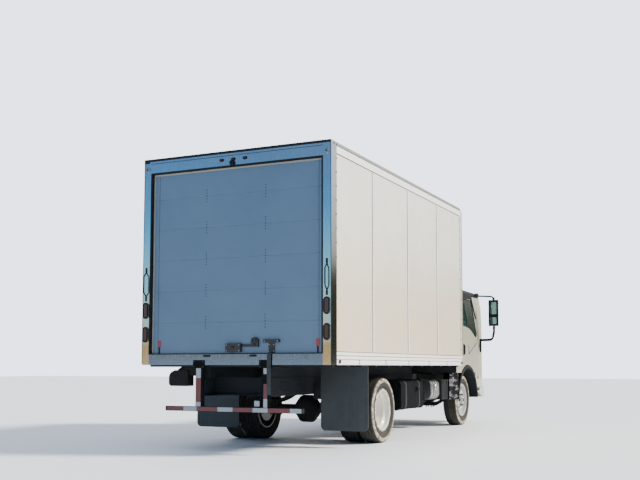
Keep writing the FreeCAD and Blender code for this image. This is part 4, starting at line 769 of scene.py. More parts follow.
# Section of a tyre from the middle inside, round the bead, up the side wall: across, radius.
CARCASS = np.array([
    (0.0000, 0.3850), (0.0850, 0.3750), (0.0960, 0.3200), (0.0700, 0.2480), (0.0827, 0.2480),
    (0.0835, 0.2600), (0.0880, 0.2690), (0.0960, 0.2800), (0.1040, 0.2960), (0.1055, 0.2985),
    (0.1075, 0.2995), (0.1100, 0.3120), (0.1110, 0.3280), (0.1105, 0.3440), (0.1092, 0.3560),
    (0.1100, 0.3575), (0.1096, 0.3600), (0.1078, 0.3615), (0.1060, 0.3740), (0.1035, 0.3850),
    (0.1005, 0.3940), (0.0960, 0.3995),
])
# The tread from its shoulder to its middle: across, depth, share of the zigzag, share of the slots.
TREAD = np.array([
    (0.0880, 0, 0, 1), (0.0800, 0, 0, 1), (0.0660, 0, 0, 1), (0.0620, 0, 1, 0), (0.0600, 0.012, 1, 0),
    (0.0545, 0.012, 1, 0), (0.0525, 0, 1, 0), (0.0400, 0, 0.5, 0), (0.0275, 0, 1, 0),
    (0.0255, 0.012, 1, 0), (0.0195, 0.012, 1, 0), (0.0175, 0, 1, 0), (0.0060, 0, 0, 0),
])
# The tread's pitches round a tyre, the steps within one, its slot, its zigzag and its crown.
PITCHES = 56
PITCH_STEPS = np.array([0.0, 0.03, 0.19, 0.22, 0.36, 0.50, 0.65, 0.82])
SLOT_FROM, SLOT_TO = 0.02, 0.20
SLOT_DEEP = 0.007
ZIGZAG = 0.003
CROWN = 0.32


def tyre_shape():
    """A truck tyre round the X axis. Each row of the section goes once round; a tread row leans to
    and fro by a triangle wave of the pitch, its radius falls with the square of its place across,
    and in the first fifth of each pitch a shoulder row drops into a slot."""
    rows = np.column_stack([CARCASS, np.zeros((len(CARCASS), 2))])
    radius = TYRE_RADIUS - CROWN * TREAD[:, 0] ** 2 - TREAD[:, 1]
    rows = np.concatenate([rows, np.column_stack([TREAD[:, 0], radius, TREAD[:, 2:]])])
    other = rows[:0:-1] * (-1, 1, 1, 1)
    rows = np.concatenate([rows, other])
    phase = np.tile(PITCH_STEPS, PITCHES)
    angle = 2 * np.pi * (np.repeat(np.arange(PITCHES), len(PITCH_STEPS)) + phase) / PITCHES
    lean = ZIGZAG * (np.abs(2 * phase - 1) * 2 - 1)
    slot = SLOT_DEEP * ((phase > SLOT_FROM) & (phase < SLOT_TO))
    across = rows[:, :1] + rows[:, 2:3] * lean
    reach = rows[:, 1:2] - rows[:, 3:] * slot
    points = np.stack([across, reach * np.cos(angle), reach * np.sin(angle)], -1)
    return points.reshape(-1, 3), grid_faces(len(rows), len(angle), wrap_rows=True, wrap_columns=True)


def round_places(radius, count, out, start=0.0):
    """Places evenly round a circle that looks along X."""
    angle = start + 2 * np.pi * np.arange(count) / count
    return np.column_stack([np.full(count, out), radius * np.cos(angle), radius * np.sin(angle)])


def build_wheels():
    """Tyres, lug nuts with their studs, hub bolts and valve stems, each on its wheel."""
    tyre = tyre_shape()
    stud = turned([(0.0095, 0.0), (0.0095, 0.028), (0.007, 0.031)], "X", 10)
    nut = merge(hexagon(0.0165, 0.020, "X"), stud)
    bolt = hexagon(0.0095, 0.008, "X")
    stem = sweep([(0.0, 0.0, 0.0), (0.030, 0.0, -0.006), (0.052, 0.0, -0.004)], 0.0045, 8)
    cap = turned([(0.030, 0.0), (0.030, 0.004), (0.024, 0.007), (0.010, 0.008)], "X", 20)
    front = merge(
        copies(nut, round_places(0.096, 6, 0.071)), copies(bolt, round_places(0.058, 6, 0.107, 0.5)),
        moved(cap, 0.117, 0, 0),
    )
    rear = merge(
        copies(nut, round_places(0.110, 6, 0.011)), copies(bolt, round_places(0.058, 8, 0.095, 0.4)),
        moved(cap, 0.111, 0, 0),
    )
    twin = [(DUAL_HALF, 0, 0), (-DUAL_HALF, 0, 0)]
    gear = (
        ("front", "wheel_front_", "tyre_front_", FRONT_HALF, AXLE_FRONT, [(0, 0, 0)], front, 0.050),
        ("rear", "wheels_rear_", "tyres_rear_", REAR_HALF, AXLE_REAR, twin, rear, 0.060),
    )
    for end, body, node, half, axle, offsets, hardware, stem_out in gear:
        for name, side in SIDES.items():
            place = (side * half, axle, TYRE_RADIUS)
            tyres = copies(tyre, np.array(offsets) + place)
            rubber = make(f"rubber_{end}_{name}", tyres, "tyre_" + end, body + name)
            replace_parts(rubber, node + name)
            make(f"nuts_{end}_{name}", moved(sided(hardware, side), *place), "dark_bolt", body + name)
            valve = sided(moved(stem, stem_out, 0.0, 0.196), side)
            make(f"valve_{end}_{name}", moved(valve, *place), "plastic", body + name)


build_wheels()


# Van body: battens, rivets and lines.

# Places along the walls of the joints between panels, half a batten's width, a rivet's radius.
SEAMS = np.array([2.221, 1.002, -0.218])
BATTEN_HALF = 0.0225
RIVET = 0.0055


def build_sides():
    """Battens over the side panels' joints, each with a dark bead along both edges, the rear one widened as
    painted shade, rivet rows, and the bolts, ridges and lines of the rails."""
    run = (LOW_RAIL + 0.006, TOP_RAIL - 0.006)
    batten = [(0.0, -BATTEN_HALF), (0.0028, -0.019), (0.0028, 0.019), (0.0, BATTEN_HALF)]
    bead = [(0.0, -0.003), (0.0012, -0.002), (0.0012, 0.002), (0.0, 0.003)]
    strips, beads_and_shade = [], []
    for seam in SEAMS:
        strips.append(prism(np.array(batten) + (PANEL - 0.0004, seam), "Z", *run))
        # The bead on each batten's rear edge is widened into a dark band of painted shade.
        for edge, wide in ((-BATTEN_HALF, 1.0), (BATTEN_HALF + 0.006, 4.5)):
            line = np.array(bead) * (1.0, wide) + (PANEL - 0.0003, seam + edge)
            beads_and_shade.append(prism(line, "Z", *run))
    for edge in (SIDE_FRONT + 0.004, SIDE_BACK - 0.004):
        beads_and_shade.append(prism(np.array(bead) + (PANEL - 0.0003, edge), "Z", *run))
    head = dome(RIVET, 0.0022, "X", 8)
    rows = np.arange(1.16, 3.25, 0.105)
    places = [(PANEL + 0.0024, seam + out, z) for seam in SEAMS for out in (-0.014, 0.014) for z in rows]
    along = np.arange(SIDE_FRONT + 0.06, SIDE_BACK, 0.152)
    places += [(BOX_HALF, y, z) for y in along for z in (3.278, 3.352, 1.094)]
    posts = (3.302, SIDE_FRONT - 0.022)
    edge_places = [(BOX_HALF, y, z) for z in np.arange(1.05, 3.37, 0.1545) for y in posts]
    edge_places.append((BOX_HALF, SIDE_BACK + 0.075, 3.366))
    pairs = [(BOX_HALF, y, z) for y in np.arange(2.671, SIDE_FRONT, -0.818) for z in (1.015, 0.982)]
    # Dark beads down the rear corners: rolled edges, their darkness painted shade.
    corner = [(BOX_HALF - 0.0015, BOX_BACK - 0.0015, z) for z in (BOX_LOW + 0.02, BOX_TOP - 0.02)]
    make("side_battens", both(merge(*strips)), "rail")
    make("side_beads_and_shade", both(merge(*beads_and_shade)), "chassis")
    make("side_rivets", both(copies(head, places)), "bolt")
    make("edge_rivets", both(copies(dome(0.0125, 0.005, "X", 8), edge_places)), "dark_bolt")
    make("corner_shade_beads", both(sweep(corner, 0.0042, 8)), "dark_bolt")
    make("rail_bolts", both(copies(hexagon(0.011, 0.006, "X"), pairs)), "dark_bolt")
    foot, crest = BOX_HALF - 0.0004, BOX_HALF + 0.0016
    ridge = np.array([(foot, 1.0240), (crest, 1.0258), (crest, 1.0282), (foot, 1.03)])
    ridges = [prism(ridge + (0.0, rise), "Y", SIDE_FRONT, SIDE_BACK) for rise in (0.0, 2.286, 2.333)]
    make("rail_ridges", both(merge(*ridges)), "rail")
    skin = (BOX_HALF - 0.0005, BOX_HALF + 0.0006)
    # The line just under the top rail is painted shade; the three low ones are dark lines on the lower rail.
    levels = [(z, z + 0.007) for z in (1.0190, 1.0610, 1.1030)] + [(3.2605, 3.2710)]
    lines = [plate(skin, (SIDE_FRONT, SIDE_BACK), level) for level in levels]
    make("rail_lines_and_shade", both(merge(*lines)), "dark_bolt")
    roof = (BOX_FRONT + 0.06, SIDE_BACK)
    front = (BOX_FRONT + 0.004, BOX_FRONT + 0.044)
    edges = [
        plate((BOX_HALF - 0.0005, BOX_HALF + 0.004), roof, (3.350, 3.3735), 0.002),
        plate((BOX_HALF - 0.024, BOX_HALF - 0.001), roof, (3.372, BOX_TOP - 0.0005), 0.004),
        plate((BOX_HALF - 0.0005, BOX_HALF + 0.002), front, (BOX_LOW + 0.16, 3.349), 0.004),
    ]
    make("roof_edges", both(merge(*edges)), "edge", bevel=0.001)


def build_front_wall():
    """Battens, rivets and a row of five amber clearance lamps on the body's front wall."""
    seams = (-0.406, 0.406)
    batten = [(-0.0225, 0.0003), (-0.019, -0.003), (0.019, -0.003), (0.0225, 0.0003)]
    strips = [prism(np.array(batten) + (x, BOX_FRONT), "Z", 1.05, 3.30) for x in seams]
    points, faces = dome(RIVET, 0.0022, "Y", 8)
    head = points * (1, -1, 1), [ring[::-1] for ring in faces]
    rows = [(x, BOX_FRONT, z) for x in np.arange(-1.12, 1.13, 0.14) for z in (0.99, 1.075, 3.30, 3.372)]
    rows += [(x + out, BOX_FRONT - 0.0026, z) for x in seams for out in (-0.013, 0.013)
             for z in np.arange(1.12, 3.28, 0.12)]
    make("front_wall_battens", merge(*strips), "rail")
    make("front_wall_rivets", copies(head, rows), "bolt")
    lens = prism(round_outline((-0.050, 0.050), (-0.014, 0.014), 0.0135, 6), "Y", -0.018, 0.001)
    base = prism(round_outline((-0.060, 0.060), (-0.021, 0.021), 0.020, 6), "Y", -0.006, 0.001)
    places = [(x, BOX_FRONT, 3.338) for x in (-1.06, -0.16, 0.0, 0.16, 1.06)]
    make("clearance_bases", copies(base, places), "plastic", bevel=0.0015)
    make("clearance_lamps", copies(lens, places), "amber", bevel=0.006, segments=3)


build_sides()
build_front_wall()


# Rear frame and roll-up door.


# The tail lamps' low and high ends, half their width, and the height of the corner lamps.
TAIL_LAMPS = ((1.504, 1.691), (1.228, 1.408))
LAMP_HALF = 0.037
CORNER_LAMP = 3.272


def upright_path(x, y, z, corner, steps):
    """A rectangle with round corners as a path on an upright plane at y."""
    outline = np.array(round_outline(x, z, corner, steps))
    return np.column_stack([outline[:, 0], np.full(len(outline), y), outline[:, 1]])


def build_rear_frame():
    """Trim on the header, dark strips of painted shade at folds in the frame's steel, and the door's seals
    with their pale lips.
    """
    low = BOX_BACK - 0.0005
    trim = [
        plate((-BOX_HALF, BOX_HALF), (low, BOX_BACK + 0.0035), (3.364, BOX_TOP)),
        plate((1.150, BOX_HALF), (low, BOX_BACK + 0.005), (3.345, BOX_TOP), 0.006),
    ]
    fold = (low, BOX_BACK + 0.0012)
    gap = (DOOR_FACE + 0.001, BOX_BACK - 0.005)
    lip = (DOOR_FACE, DOOR_FACE + 0.006)
    # Painted shade: a dark strip along the header's fold and one down each post's inner edge.
    fold_shade_lines = [plate((-POST_IN, POST_IN), fold, (3.334, 3.340))]
    seals = [
        plate((-POST_IN, POST_IN), gap, (HEADER_LOW - 0.018, HEADER_LOW), 0.004),
        plate((-POST_IN, POST_IN), (DOOR_FACE, DOOR_FACE + 0.020), (FLOOR_TOP, FLOOR_TOP + 0.010), 0.004),
    ]
    lips = [plate((-1.103, 1.103), lip, (3.190, HEADER_LOW - 0.017), 0.002)]
    for side in SIDES.values():
        edge = sorted((side * POST_IN, side * (POST_IN + 0.003)))
        fold_shade_lines.append(plate(edge, fold, (FLOOR_TOP, HEADER_LOW)))
        edge = sorted((side * 1.103, side * POST_IN))
        seals.append(plate(edge, gap, (FLOOR_TOP + 0.002, HEADER_LOW - 0.017), 0.004))
        edge = sorted((side * 1.086, side * 1.104))
        lips.append(plate(edge, lip, (1.10, 3.192), 0.002))
    line = (DOOR_FACE - 0.001, DOOR_FACE + 0.0012)
    lines = [plate((x - 0.0015, x + 0.0015), line, (1.10, 3.20)) for x in (1.026, -1.056)]
    make("header_trim", merge(*trim), "plastic", bevel=0.001)
    make("frame_fold_shade_lines", merge(*fold_shade_lines), "dark_bolt")
    make("door_seals", merge(*seals), "seal")
    make("door_seal_lips", merge(*lips), "lip")
    make("door_edge_lines", merge(*lines), "dark_bolt")


def build_rear_lamps():
    """Covers of the corner lamps, ribs and bezels of the tail lamps, and the small camera."""
    bezels = []
    for low, high in TAIL_LAMPS:
        across = (POST_MIDDLE - LAMP_HALF + 0.007, POST_MIDDLE + LAMP_HALF - 0.007)
        path = upright_path(across, BOX_BACK + 0.012, (low + 0.007, high - 0.007), LAMP_HALF - 0.008, 8)
        bezels.append(sweep(path, 0.0088, 8, closed=True))
    small = []
    for x in (-0.153, 0.0, 0.153):
        path = upright_path((x - 0.026, x + 0.026), BOX_BACK + 0.002, (3.278, 3.306), 0.0135, 6)
        small.append(sweep(path, 0.004, 8, closed=True))
    cover = turned([(0.032, -0.001), (0.032, 0.0155), (0.031, 0.0163), (0.0005, 0.0164)], "Y", 28)
    dot = dome(0.010, 0.003, "Y", 16)
    rib = (POST_MIDDLE - 0.022, POST_MIDDLE + 0.022), (BOX_BACK + 0.0135, BOX_BACK + 0.0155)
    ribs = [plate(*rib, (z, z + 0.0015)) for low, high in TAIL_LAMPS
            for z in np.arange(low + 0.018, high - 0.018, 0.0075)]
    camera = merge(
        turned([(0.033, -0.001), (0.033, 0.014), (0.028, 0.026), (0.014, 0.032)], "Y", 24),
        turned([(0.012, 0.028), (0.012, 0.042), (0.008, 0.046)], "Y", 16),
    )
    # The covers take the rear door's painted blue shade.
    make("corner_lamp_covers", both(moved(cover, POST_MIDDLE, BOX_BACK, CORNER_LAMP)), "rear_door")
    make("corner_lamp_dots", both(moved(dot, POST_MIDDLE, BOX_BACK + 0.0158, CORNER_LAMP)), "seal")
    make("lamp_ribs", both(merge(*ribs)), "lamp_red")
    make("lamp_bezels", merge(both(merge(*bezels)), *small), "seal")
    make("rear_camera", moved(camera, 0.010, BOX_BACK, 3.248), "seal")


def build_rear_fittings():
    """Grab bars with their feet and screws, and the sill's rubber bumps and rivets."""
    route = [(3.4455, 2.100), (3.4455, 2.052), (3.4480, 2.040), (3.4860, 2.001), (3.4900, 1.988),
             (3.4900, 1.822), (3.4860, 1.809), (3.4480, 1.770), (3.4455, 1.758), (3.4455, 1.712)]
    bar = sweep([(POST_MIDDLE, y, z) for y, z in route], 0.0078, 12)
    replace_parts(make("grab_bars", both(bar), "seal"), "grab_handles")
    across = (POST_MIDDLE - 0.013, POST_MIDDLE + 0.013)
    foot = plate(across, (BOX_BACK - 0.0005, BOX_BACK + 0.0035), (-0.026, 0.026), 0.010)
    feet = copies(foot, [(0, 0, 2.078), (0, 0, 1.732)])
    screws = [(POST_MIDDLE + out, BOX_BACK + 0.003, z) for out in (-0.0105, 0.0105) for z in (2.078, 1.732)]
    make("handle_feet", both(feet), "dark_bolt", bevel=0.001)
    make("handle_screws", both(copies(dome(0.0035, 0.002, "Y", 8), screws)), "bolt")
    out = (BOX_BACK - 0.001, BOX_BACK + 0.016)
    bumps = [plate(x, out, (1.056, 1.079), 0.006) for x in ((0.285, 0.364), (-0.310, -0.234))]
    make("sill_bumps", merge(*bumps), "seal", bevel=0.003)
    rivets = [(x, BOX_BACK, 0.985) for x in np.linspace(-1.03, 1.03, 9) if abs(abs(x) - 0.43) > 0.1]
    make("sill_rivets", copies(dome(0.006, 0.0025, "Y", 8), rivets), "dark_bolt")


def build_roll_door():
    """Rows of hinge rivets over each seam, faint or dark, and the red tags at both edges."""
    head = dome(0.0062, 0.0032, "Y", 8)
    rows = [seam + rise for seam in DOOR_SEAMS for rise in np.linspace(-0.066, 0.066, 5)]
    faint = [(x, DOOR_FACE, z) for x in (0.498, -0.467, 1.000, -1.035) for z in rows]
    dark = [(x, DOOR_FACE, z) for x in (0.373, -0.397) for z in rows]
    fill = [plate((-1.120, 1.120), (DOOR_FACE - 0.0075, DOOR_FACE - 0.0022), (seam - 0.0065, seam + 0.0065))
            for seam in DOOR_SEAMS]
    # Seam strips and faint hinge rivets take the rear door's painted blue shade.
    make("seam_strips", merge(*fill), "rear_door")
    make("hinge_rivets", copies(head, faint), "rear_door")
    make("hinge_rivets_dark", copies(head, dark), "dark_bolt")
    tags, stems = [], []
    for low, high in ((0.981, 1.025), (-1.067, -1.020)):
        tags.append(plate((low, high), (DOOR_FACE + 0.001, DOOR_FACE + 0.004), (1.162, 1.248), 0.005))
        middle = (low + high) / 2
        across = (middle - 0.006, middle + 0.006)
        stems.append(plate(across, (DOOR_FACE, DOOR_FACE + 0.010), (1.092, 1.170), 0.003))
    make("door_tags", merge(*tags), "tag")
    make("tag_stems", merge(*stems), "plastic")


def build_latch():
    """Pivots, rivets and a ribbed grip on the latch and on the lift bar."""
    face = DOOR_FACE + 0.040
    wide = turned([(0.020, 0), (0.020, 0.006), (0.014, 0.009), (0.013, 0.012)], "Y", 20)
    slim = turned([(0.014, 0), (0.014, 0.007), (0.010, 0.009)], "Y", 16)
    pivots = [moved(wide, -0.007, face - 0.001, 1.158), moved(slim, -0.280, DOOR_FACE + 0.031, 1.190)]
    screws = [(x, face - 0.0005, z) for x in (-0.088, 0.074) for z in (1.124, 1.187)]
    screws += [(x, DOOR_FACE + 0.0115, z) for x in (-0.513, -0.456) for z in (1.115, 1.190)]
    screws += [(x, DOOR_FACE + 0.0295, 1.2265) for x in (-0.565, -0.403)]
    make("latch_pivots", merge(*pivots), "dark_bolt")
    make("latch_screws", copies(dome(0.006, 0.003, "Y", 10), screws), "bolt")
    rib = plate((-0.009, 0.009), (0.0, 0.003), (-0.003, 0.003), 0.0025)
    levels = (1.222, 1.233, 1.244, 1.255)
    places = [(-0.280 + shift, DOOR_FACE + 0.0315, z) for shift in (-0.020, 0.020) for z in levels]
    make("latch_grip", copies(rib, places), "seal")


def build_strap():
    """The pull strap: a band of webbing whose middle line is a smooth curve from its block, over
    the sill's edge and straight down, with a rib every 6.5 mm across and a hem at its end."""
    corners = [
        (3.4105, 1.150), (3.4110, 1.118), (3.4200, 1.099), (3.4400, 1.0935), (3.4530, 1.081),
        (3.4555, 1.040), (3.4552, 0.900), (3.4560, 0.760), (3.4552, 0.640),
    ]
    middle = smooth_path([(0.0, *corner) for corner in corners], 8)[:, 1:]
    across = np.linspace(-0.5, 0.5, 17)
    lean = np.interp(middle[:, 1], [0.64, 0.975, 1.15], [-0.482, -0.478, -0.485])
    wide = 0.052
    ribs = 0.0003 * np.cos(across * 16 * np.pi)
    x = lean[:, None] + wide * across[None, :]
    y = middle[:, :1] + ribs[None, :]
    z = np.repeat(middle[:, 1:], len(across), 1)
    points = np.stack([x, y, z], -1).reshape(-1, 3)
    strap = make("pull_strap", (points, grid_faces(len(middle), len(across))), "webbing")
    thick = strap.modifiers.new("thickness", "SOLIDIFY")
    thick.thickness = 0.0016
    thick.offset = 0.0
    hem = plate((-0.026, 0.026), (-0.0022, 0.0022), (0.0, 0.028), 0.002)
    end = make("pull_strap_hem", moved(hem, -0.482, 3.4552, 0.639), "webbing")


build_rear_frame()
build_rear_lamps()
build_rear_fittings()
build_roll_door()
build_latch()
build_strap()


# Underride guard, mud flaps and the pieces beside the frame.


def hoop(u, v, corner, thick, axis, low, high):
    """A flat band round a rectangle with round corners: two outlines, each at two levels."""
    inner = np.array(round_outline(u, v, corner, 6))
    wide, tall = (u[0] - thick, u[1] + thick), (v[0] - thick, v[1] + thick)
    outer = np.array(round_outline(wide, tall, corner + thick, 6))
    loops = [(inner, low), (outer, low), (outer, high), (inner, high)]
    points = np.concatenate([np.column_stack([loop, np.full(len(loop), level)]) for loop, level in loops])
    return points @ AXES[axis], grid_faces(4, len(inner), wrap_rows=True, wrap_columns=True)


def build_guard():
    """Reflective tape in red and white on the guard's bar and posts, its bolts, tag and end caps."""
    skin = (BOX_BACK - 0.0003, BOX_BACK + 0.0006)
    bar = (0.4475, 0.4945)
    left, right = (0.401, 0.464), (-0.453, -0.406)
    tapes = {
        "tape_white_in_shade": [
            ((0.454, 0.629), bar), ((-0.017, 0.177), bar), ((-0.458, -0.271), bar), ((-0.870, -0.733), bar),
            (left, (0.818, 0.929)), (left, (0.500, 0.548)), (right, (0.866, 0.929)), (right, (0.500, 0.595)),
        ],
        "tape_red": [
            ((0.629, 0.860), bar), ((0.177, 0.454), bar), ((-0.271, -0.017), bar), ((-0.733, -0.458), bar),
            (left, (0.548, 0.818)), (right, (0.595, 0.757)),
        ],
    }
    for name, zones in tapes.items():
        make(name, merge(*[plate(x, skin, z) for x, z in zones]), name)
    across = [side * (0.428 + out) for side in (1, -1) for out in (-0.060, 0.060)]
    bolts = [(x, BOX_BACK + 0.008, z) for x in across for z in (0.946, 1.004)]
    make("guard_bolts", copies(hexagon(0.011, 0.008, "Y"), bolts), "dark_bolt")
    tab = plate((-0.350, -0.285), (BOX_BACK - 0.0145, BOX_BACK - 0.0130), (0.512, 0.572), 0.006)
    make("guard_tag", tab, "tape_white_in_shade")
    caps = both(plate((0.874, 0.8775), (3.384, 3.436), (0.448, 0.494), 0.008))
    make("guard_caps", caps, "plastic", bevel=0.001)


def build_flaps():
    """Each mud flap's clamp strip with bolts, and the lines along its low edge and its sides."""
    back = AXLE_REAR + 0.805
    strip = plate((0.570, 1.170), (back - 0.0005, back + 0.005), (0.985, 1.025), 0.004)
    make("flap_clamps", both(strip), "chassis", bevel=0.001)
    bolts = [(x, back + 0.0045, 1.005) for x in np.linspace(0.60, 1.14, 5)]
    make("flap_bolts", both(copies(hexagon(0.009, 0.007, "Y"), bolts)), "bolt")
    skin = (back - 0.0005, back + 0.0015)
    edges = [
        plate((0.600, 1.140), skin, (0.232, 0.238), 0.002),
        plate((0.583, 0.587), skin, (0.245, 0.975), 0.001),
        plate((1.153, 1.157), skin, (0.245, 0.975), 0.001),
    ]
    make("flap_lines", both(merge(*edges)), "rubber")


def u_bolt(x, y, low, high):
    """One U-bolt: up one side of the spring, over it in a half round and down the other side."""
    turn = np.linspace(np.pi, 0, 7)
    middle, half = (x[0] + x[1]) / 2, (x[1] - x[0]) / 2
    rod, rise = 0.008, 0.014
    arc = np.column_stack([middle + half * np.cos(turn), np.full(7, y), high - rise + rise * np.sin(turn)])
    path = np.concatenate([[(x[0], y, low)], arc, [(x[1], y, low)]])
    nut = turned([(0.013, 0), (0.013, 0.012)], "Z", 6)
    return merge(sweep(path, rod, 8), copies(nut, [(end, y, low + 0.004) for end in x]))


def build_springs():
    """U-bolts that hold the leaf packs to the axles."""
    bolts = []
    for y in (AXLE_FRONT - 0.052, AXLE_FRONT + 0.052):
        bolts.append(u_bolt((0.336, 0.424), y, 0.280, 0.424))
    for y in (AXLE_REAR - 0.068, AXLE_REAR + 0.068):
        bolts.append(u_bolt((0.423, 0.511), y, 0.318, 0.530))
    make("spring_bolts", both(merge(*bolts)), "dark_bolt")


def build_tank():
    """Two straps round the fuel tank, its filler cap and the seams at its ends."""
    tank_u, tank_v = (-0.980, -0.520), (0.364, 0.760)
    front = AXLE_FRONT + 2.050
    straps = [hoop(tank_u, tank_v, 0.070, 0.004, "Y", front + at, front + at + 0.045)
              for at in (0.180, 0.720)]
    make("tank_straps", merge(*straps), "dark_bolt", bevel=0.001)
    rims = [hoop(tank_u, tank_v, 0.070, 0.006, "Y", front + at, front + at + 0.012) for at in (0.0, 0.938)]
    make("tank_seams", merge(*rims), "black_steel", bevel=0.002)
    cap = turned([(0.050, -0.002), (0.050, 0.006), (0.043, 0.010), (0.043, 0.034), (0.038, 0.040)], "X", 24)
    grip = plate((0.038, 0.052), (-0.036, 0.036), (-0.006, 0.006), 0.004)
    filler = mirrored(moved(merge(cap, grip), 0.979, 0, 0))
    make("tank_cap", moved(filler, 0, front + 0.320, 0.640), "plastic", bevel=0.0015)


def build_underbody():
    """Clamps on the exhaust pipe, the silver canister's port, the battery box's lid with its
    buckles, the tail pipe's elbow and the bolts along the frame."""
    ring = turned([(0.0405, -0.016), (0.0465, -0.016), (0.0465, 0.016), (0.0405, 0.016)], "Y", 24)
    lug = plate((0.044, 0.062), (-0.010, 0.010), (-0.006, 0.006), 0.002)
    clamps = copies(merge(ring, lug), [(0.50, y, 0.875) for y in (-1.20, -0.35, 0.55, 1.45, 2.35)])
    make("exhaust_clamps", clamps, "bolt")
    can_front = AXLE_FRONT + 1.290
    cap = turned([(0.055, -0.001), (0.055, 0.010), (0.040, 0.020), (0.040, 0.030)], "X", 24)
    port = mirrored(moved(cap, 0.967, 0, 0))
    make("canister_port", moved(port, 0, can_front + 0.195, 0.640), "shield")
    lid_front = AXLE_FRONT + 0.640
    lid = plate((-0.906, -0.494), (lid_front - 0.006, lid_front + 0.326), (0.712, 0.746), 0.022)
    make("battery_lid", lid, "plastic", bevel=0.004)
    buckle = plate((-0.006, 0.002), (-0.016, 0.016), (-0.030, 0.022), 0.004)
    places = [(-0.9065, lid_front + y, 0.716) for y in (0.080, 0.240)]
    make("battery_buckles", copies(buckle, places), "dark_bolt")
    elbow = [(0.600, 0.915), (0.760, 0.920), (0.880, 0.915), (0.975, 0.872), (1.030, 0.800), (1.042, 0.748)]
    path = smooth_path([(x, 2.99, z) for x, z in elbow], 6)
    make("tail_elbow", sweep(path, 0.052, 20), "casting")
    bolts = [(RAIL_OUT + 0.0005, y, z) for y in np.arange(-2.9, 3.2, 0.46) for z in (0.700, 0.770)]
    make("frame_bolts", both(copies(hexagon(0.010, 0.008, "X"), bolts)), "dark_bolt")


build_guard()
build_flaps()
build_springs()
build_tank()
build_underbody()


# Cab.

# Corners of the door's window (along, up) and of the windshield (across, up), each with its bend.
WINDOW = [(-2.050, 1.612), (-2.460, 1.592), (-2.875, 1.405), (-2.722, 2.048), (-2.050, 2.066)]
WINDOW_BENDS = [0.040, 0.900, 0.050, 0.050, 0.060]
WINDSHIELD = [(-0.957, 1.428), (0.957, 1.428), (0.880, 2.088), (-0.880, 2.088)]
WINDSHIELD_BENDS = [0.070, 0.070, 0.080, 0.080]


def rounded(corners, bends):
    """A closed outline whose corners are arcs that touch both runs: each arc's centre lies on the
    corner's bisector, its tangent points one radius times the half angle's cotangent away."""
    corners = np.asarray(corners, float)
    share = np.linspace(0, 1, 9)[:, None]
    arcs = []
    for before, corner, after, bend in zip(np.roll(corners, 1, 0), corners, np.roll(corners, -1, 0), bends):
        back, ahead = unit(before - corner), unit(after - corner)
        half = math.acos(np.clip(back @ ahead, -1, 1)) / 2
        start = corner + back * bend / math.tan(half)
        end = corner + ahead * bend / math.tan(half)
        centre = corner + unit(back + ahead) * bend / math.sin(half)
        chord = (start - centre) * (1 - share) + (end - centre) * share
        arcs.append(centre + bend * unit(chord))
    return np.concatenate(arcs)


def side_x(z):
    """How far out the cab's side lies at a height: upright to the belt, then leaning in."""
    return CAB_HALF - 0.0923 * np.maximum(z - 1.5, 0.0)


def front_y(x, z):
    """The cab's front surface: the further back of its leaning side view and its curved plan."""
    lean = -3.462 + 0.3255 * np.maximum(z - 1.393, 0.0)
    inner = -3.474 + 0.044 * np.abs(x) / CAB_HALF
    reach = np.clip(np.abs(x) - 0.727, 0.0, 0.304)
    outer = -3.125 - np.sqrt(0.305 ** 2 - reach ** 2)
    return np.maximum(lean, np.where(np.abs(x) > 0.727, np.maximum(outer, inner), inner))


def build_cab_glazing():
    """Rubber seals round the windshield, the door windows and the rear window."""
    window = rounded(WINDOW, WINDOW_BENDS)
    path = np.column_stack([side_x(window[:, 1]) + 0.0005, window])
    seal = sweep(path, 0.0075, 8, closed=True)
    for name, side in SIDES.items():
        make("window_seal_" + name, sided(seal, side), "seal", "door_" + name)
    shield = rounded(WINDSHIELD, WINDSHIELD_BENDS)
    share = np.linspace(0, 1, 6, endpoint=False)[:, None]
    dense = np.concatenate([a + (b - a) * share for a, b in zip(shield, np.roll(shield, -1, 0))
                            if np.linalg.norm(b - a) > 1e-4])
    path = np.column_stack([dense[:, 0], front_y(dense[:, 0], dense[:, 1]) - 0.0005, dense[:, 1]])
    pane = upright_path((-0.430, 0.430), -1.7295, (1.590, 1.998), 0.004, 3)
    make("windshield_seal", sweep(path, 0.009, 8, closed=True), "seal")
    make("rear_window_seal", sweep(pane, 0.010, 8, closed=True), "seal")


def build_wipers():
    """Two wipers: an arm and a blade that follow the windshield's curve a little above it."""
    arms, blades = [], []
    for pivot, tip in ((0.62, 0.12), (-0.10, -0.60)):
        x = np.linspace(pivot, tip, 12)
        z = np.linspace(1.405, 1.520, 12)
        arms.append(sweep(np.column_stack([x, front_y(x, z) - 0.022, z]), 0.006, 8))
        arms.append(moved(turned([(0.018, -0.020), (0.018, 0.012)], "Y", 16), pivot, -3.470, 1.402))
        x = np.linspace(tip + 0.30, tip - 0.26, 16)
        z = np.linspace(1.462, 1.560, 16)
        blades.append(sweep(np.column_stack([x, front_y(x, z) - 0.012, z]), 0.006, 6, flat=1.6))
    make("wiper_arms", merge(*arms), "plastic")
    make("wiper_blades", merge(*blades), "seal")


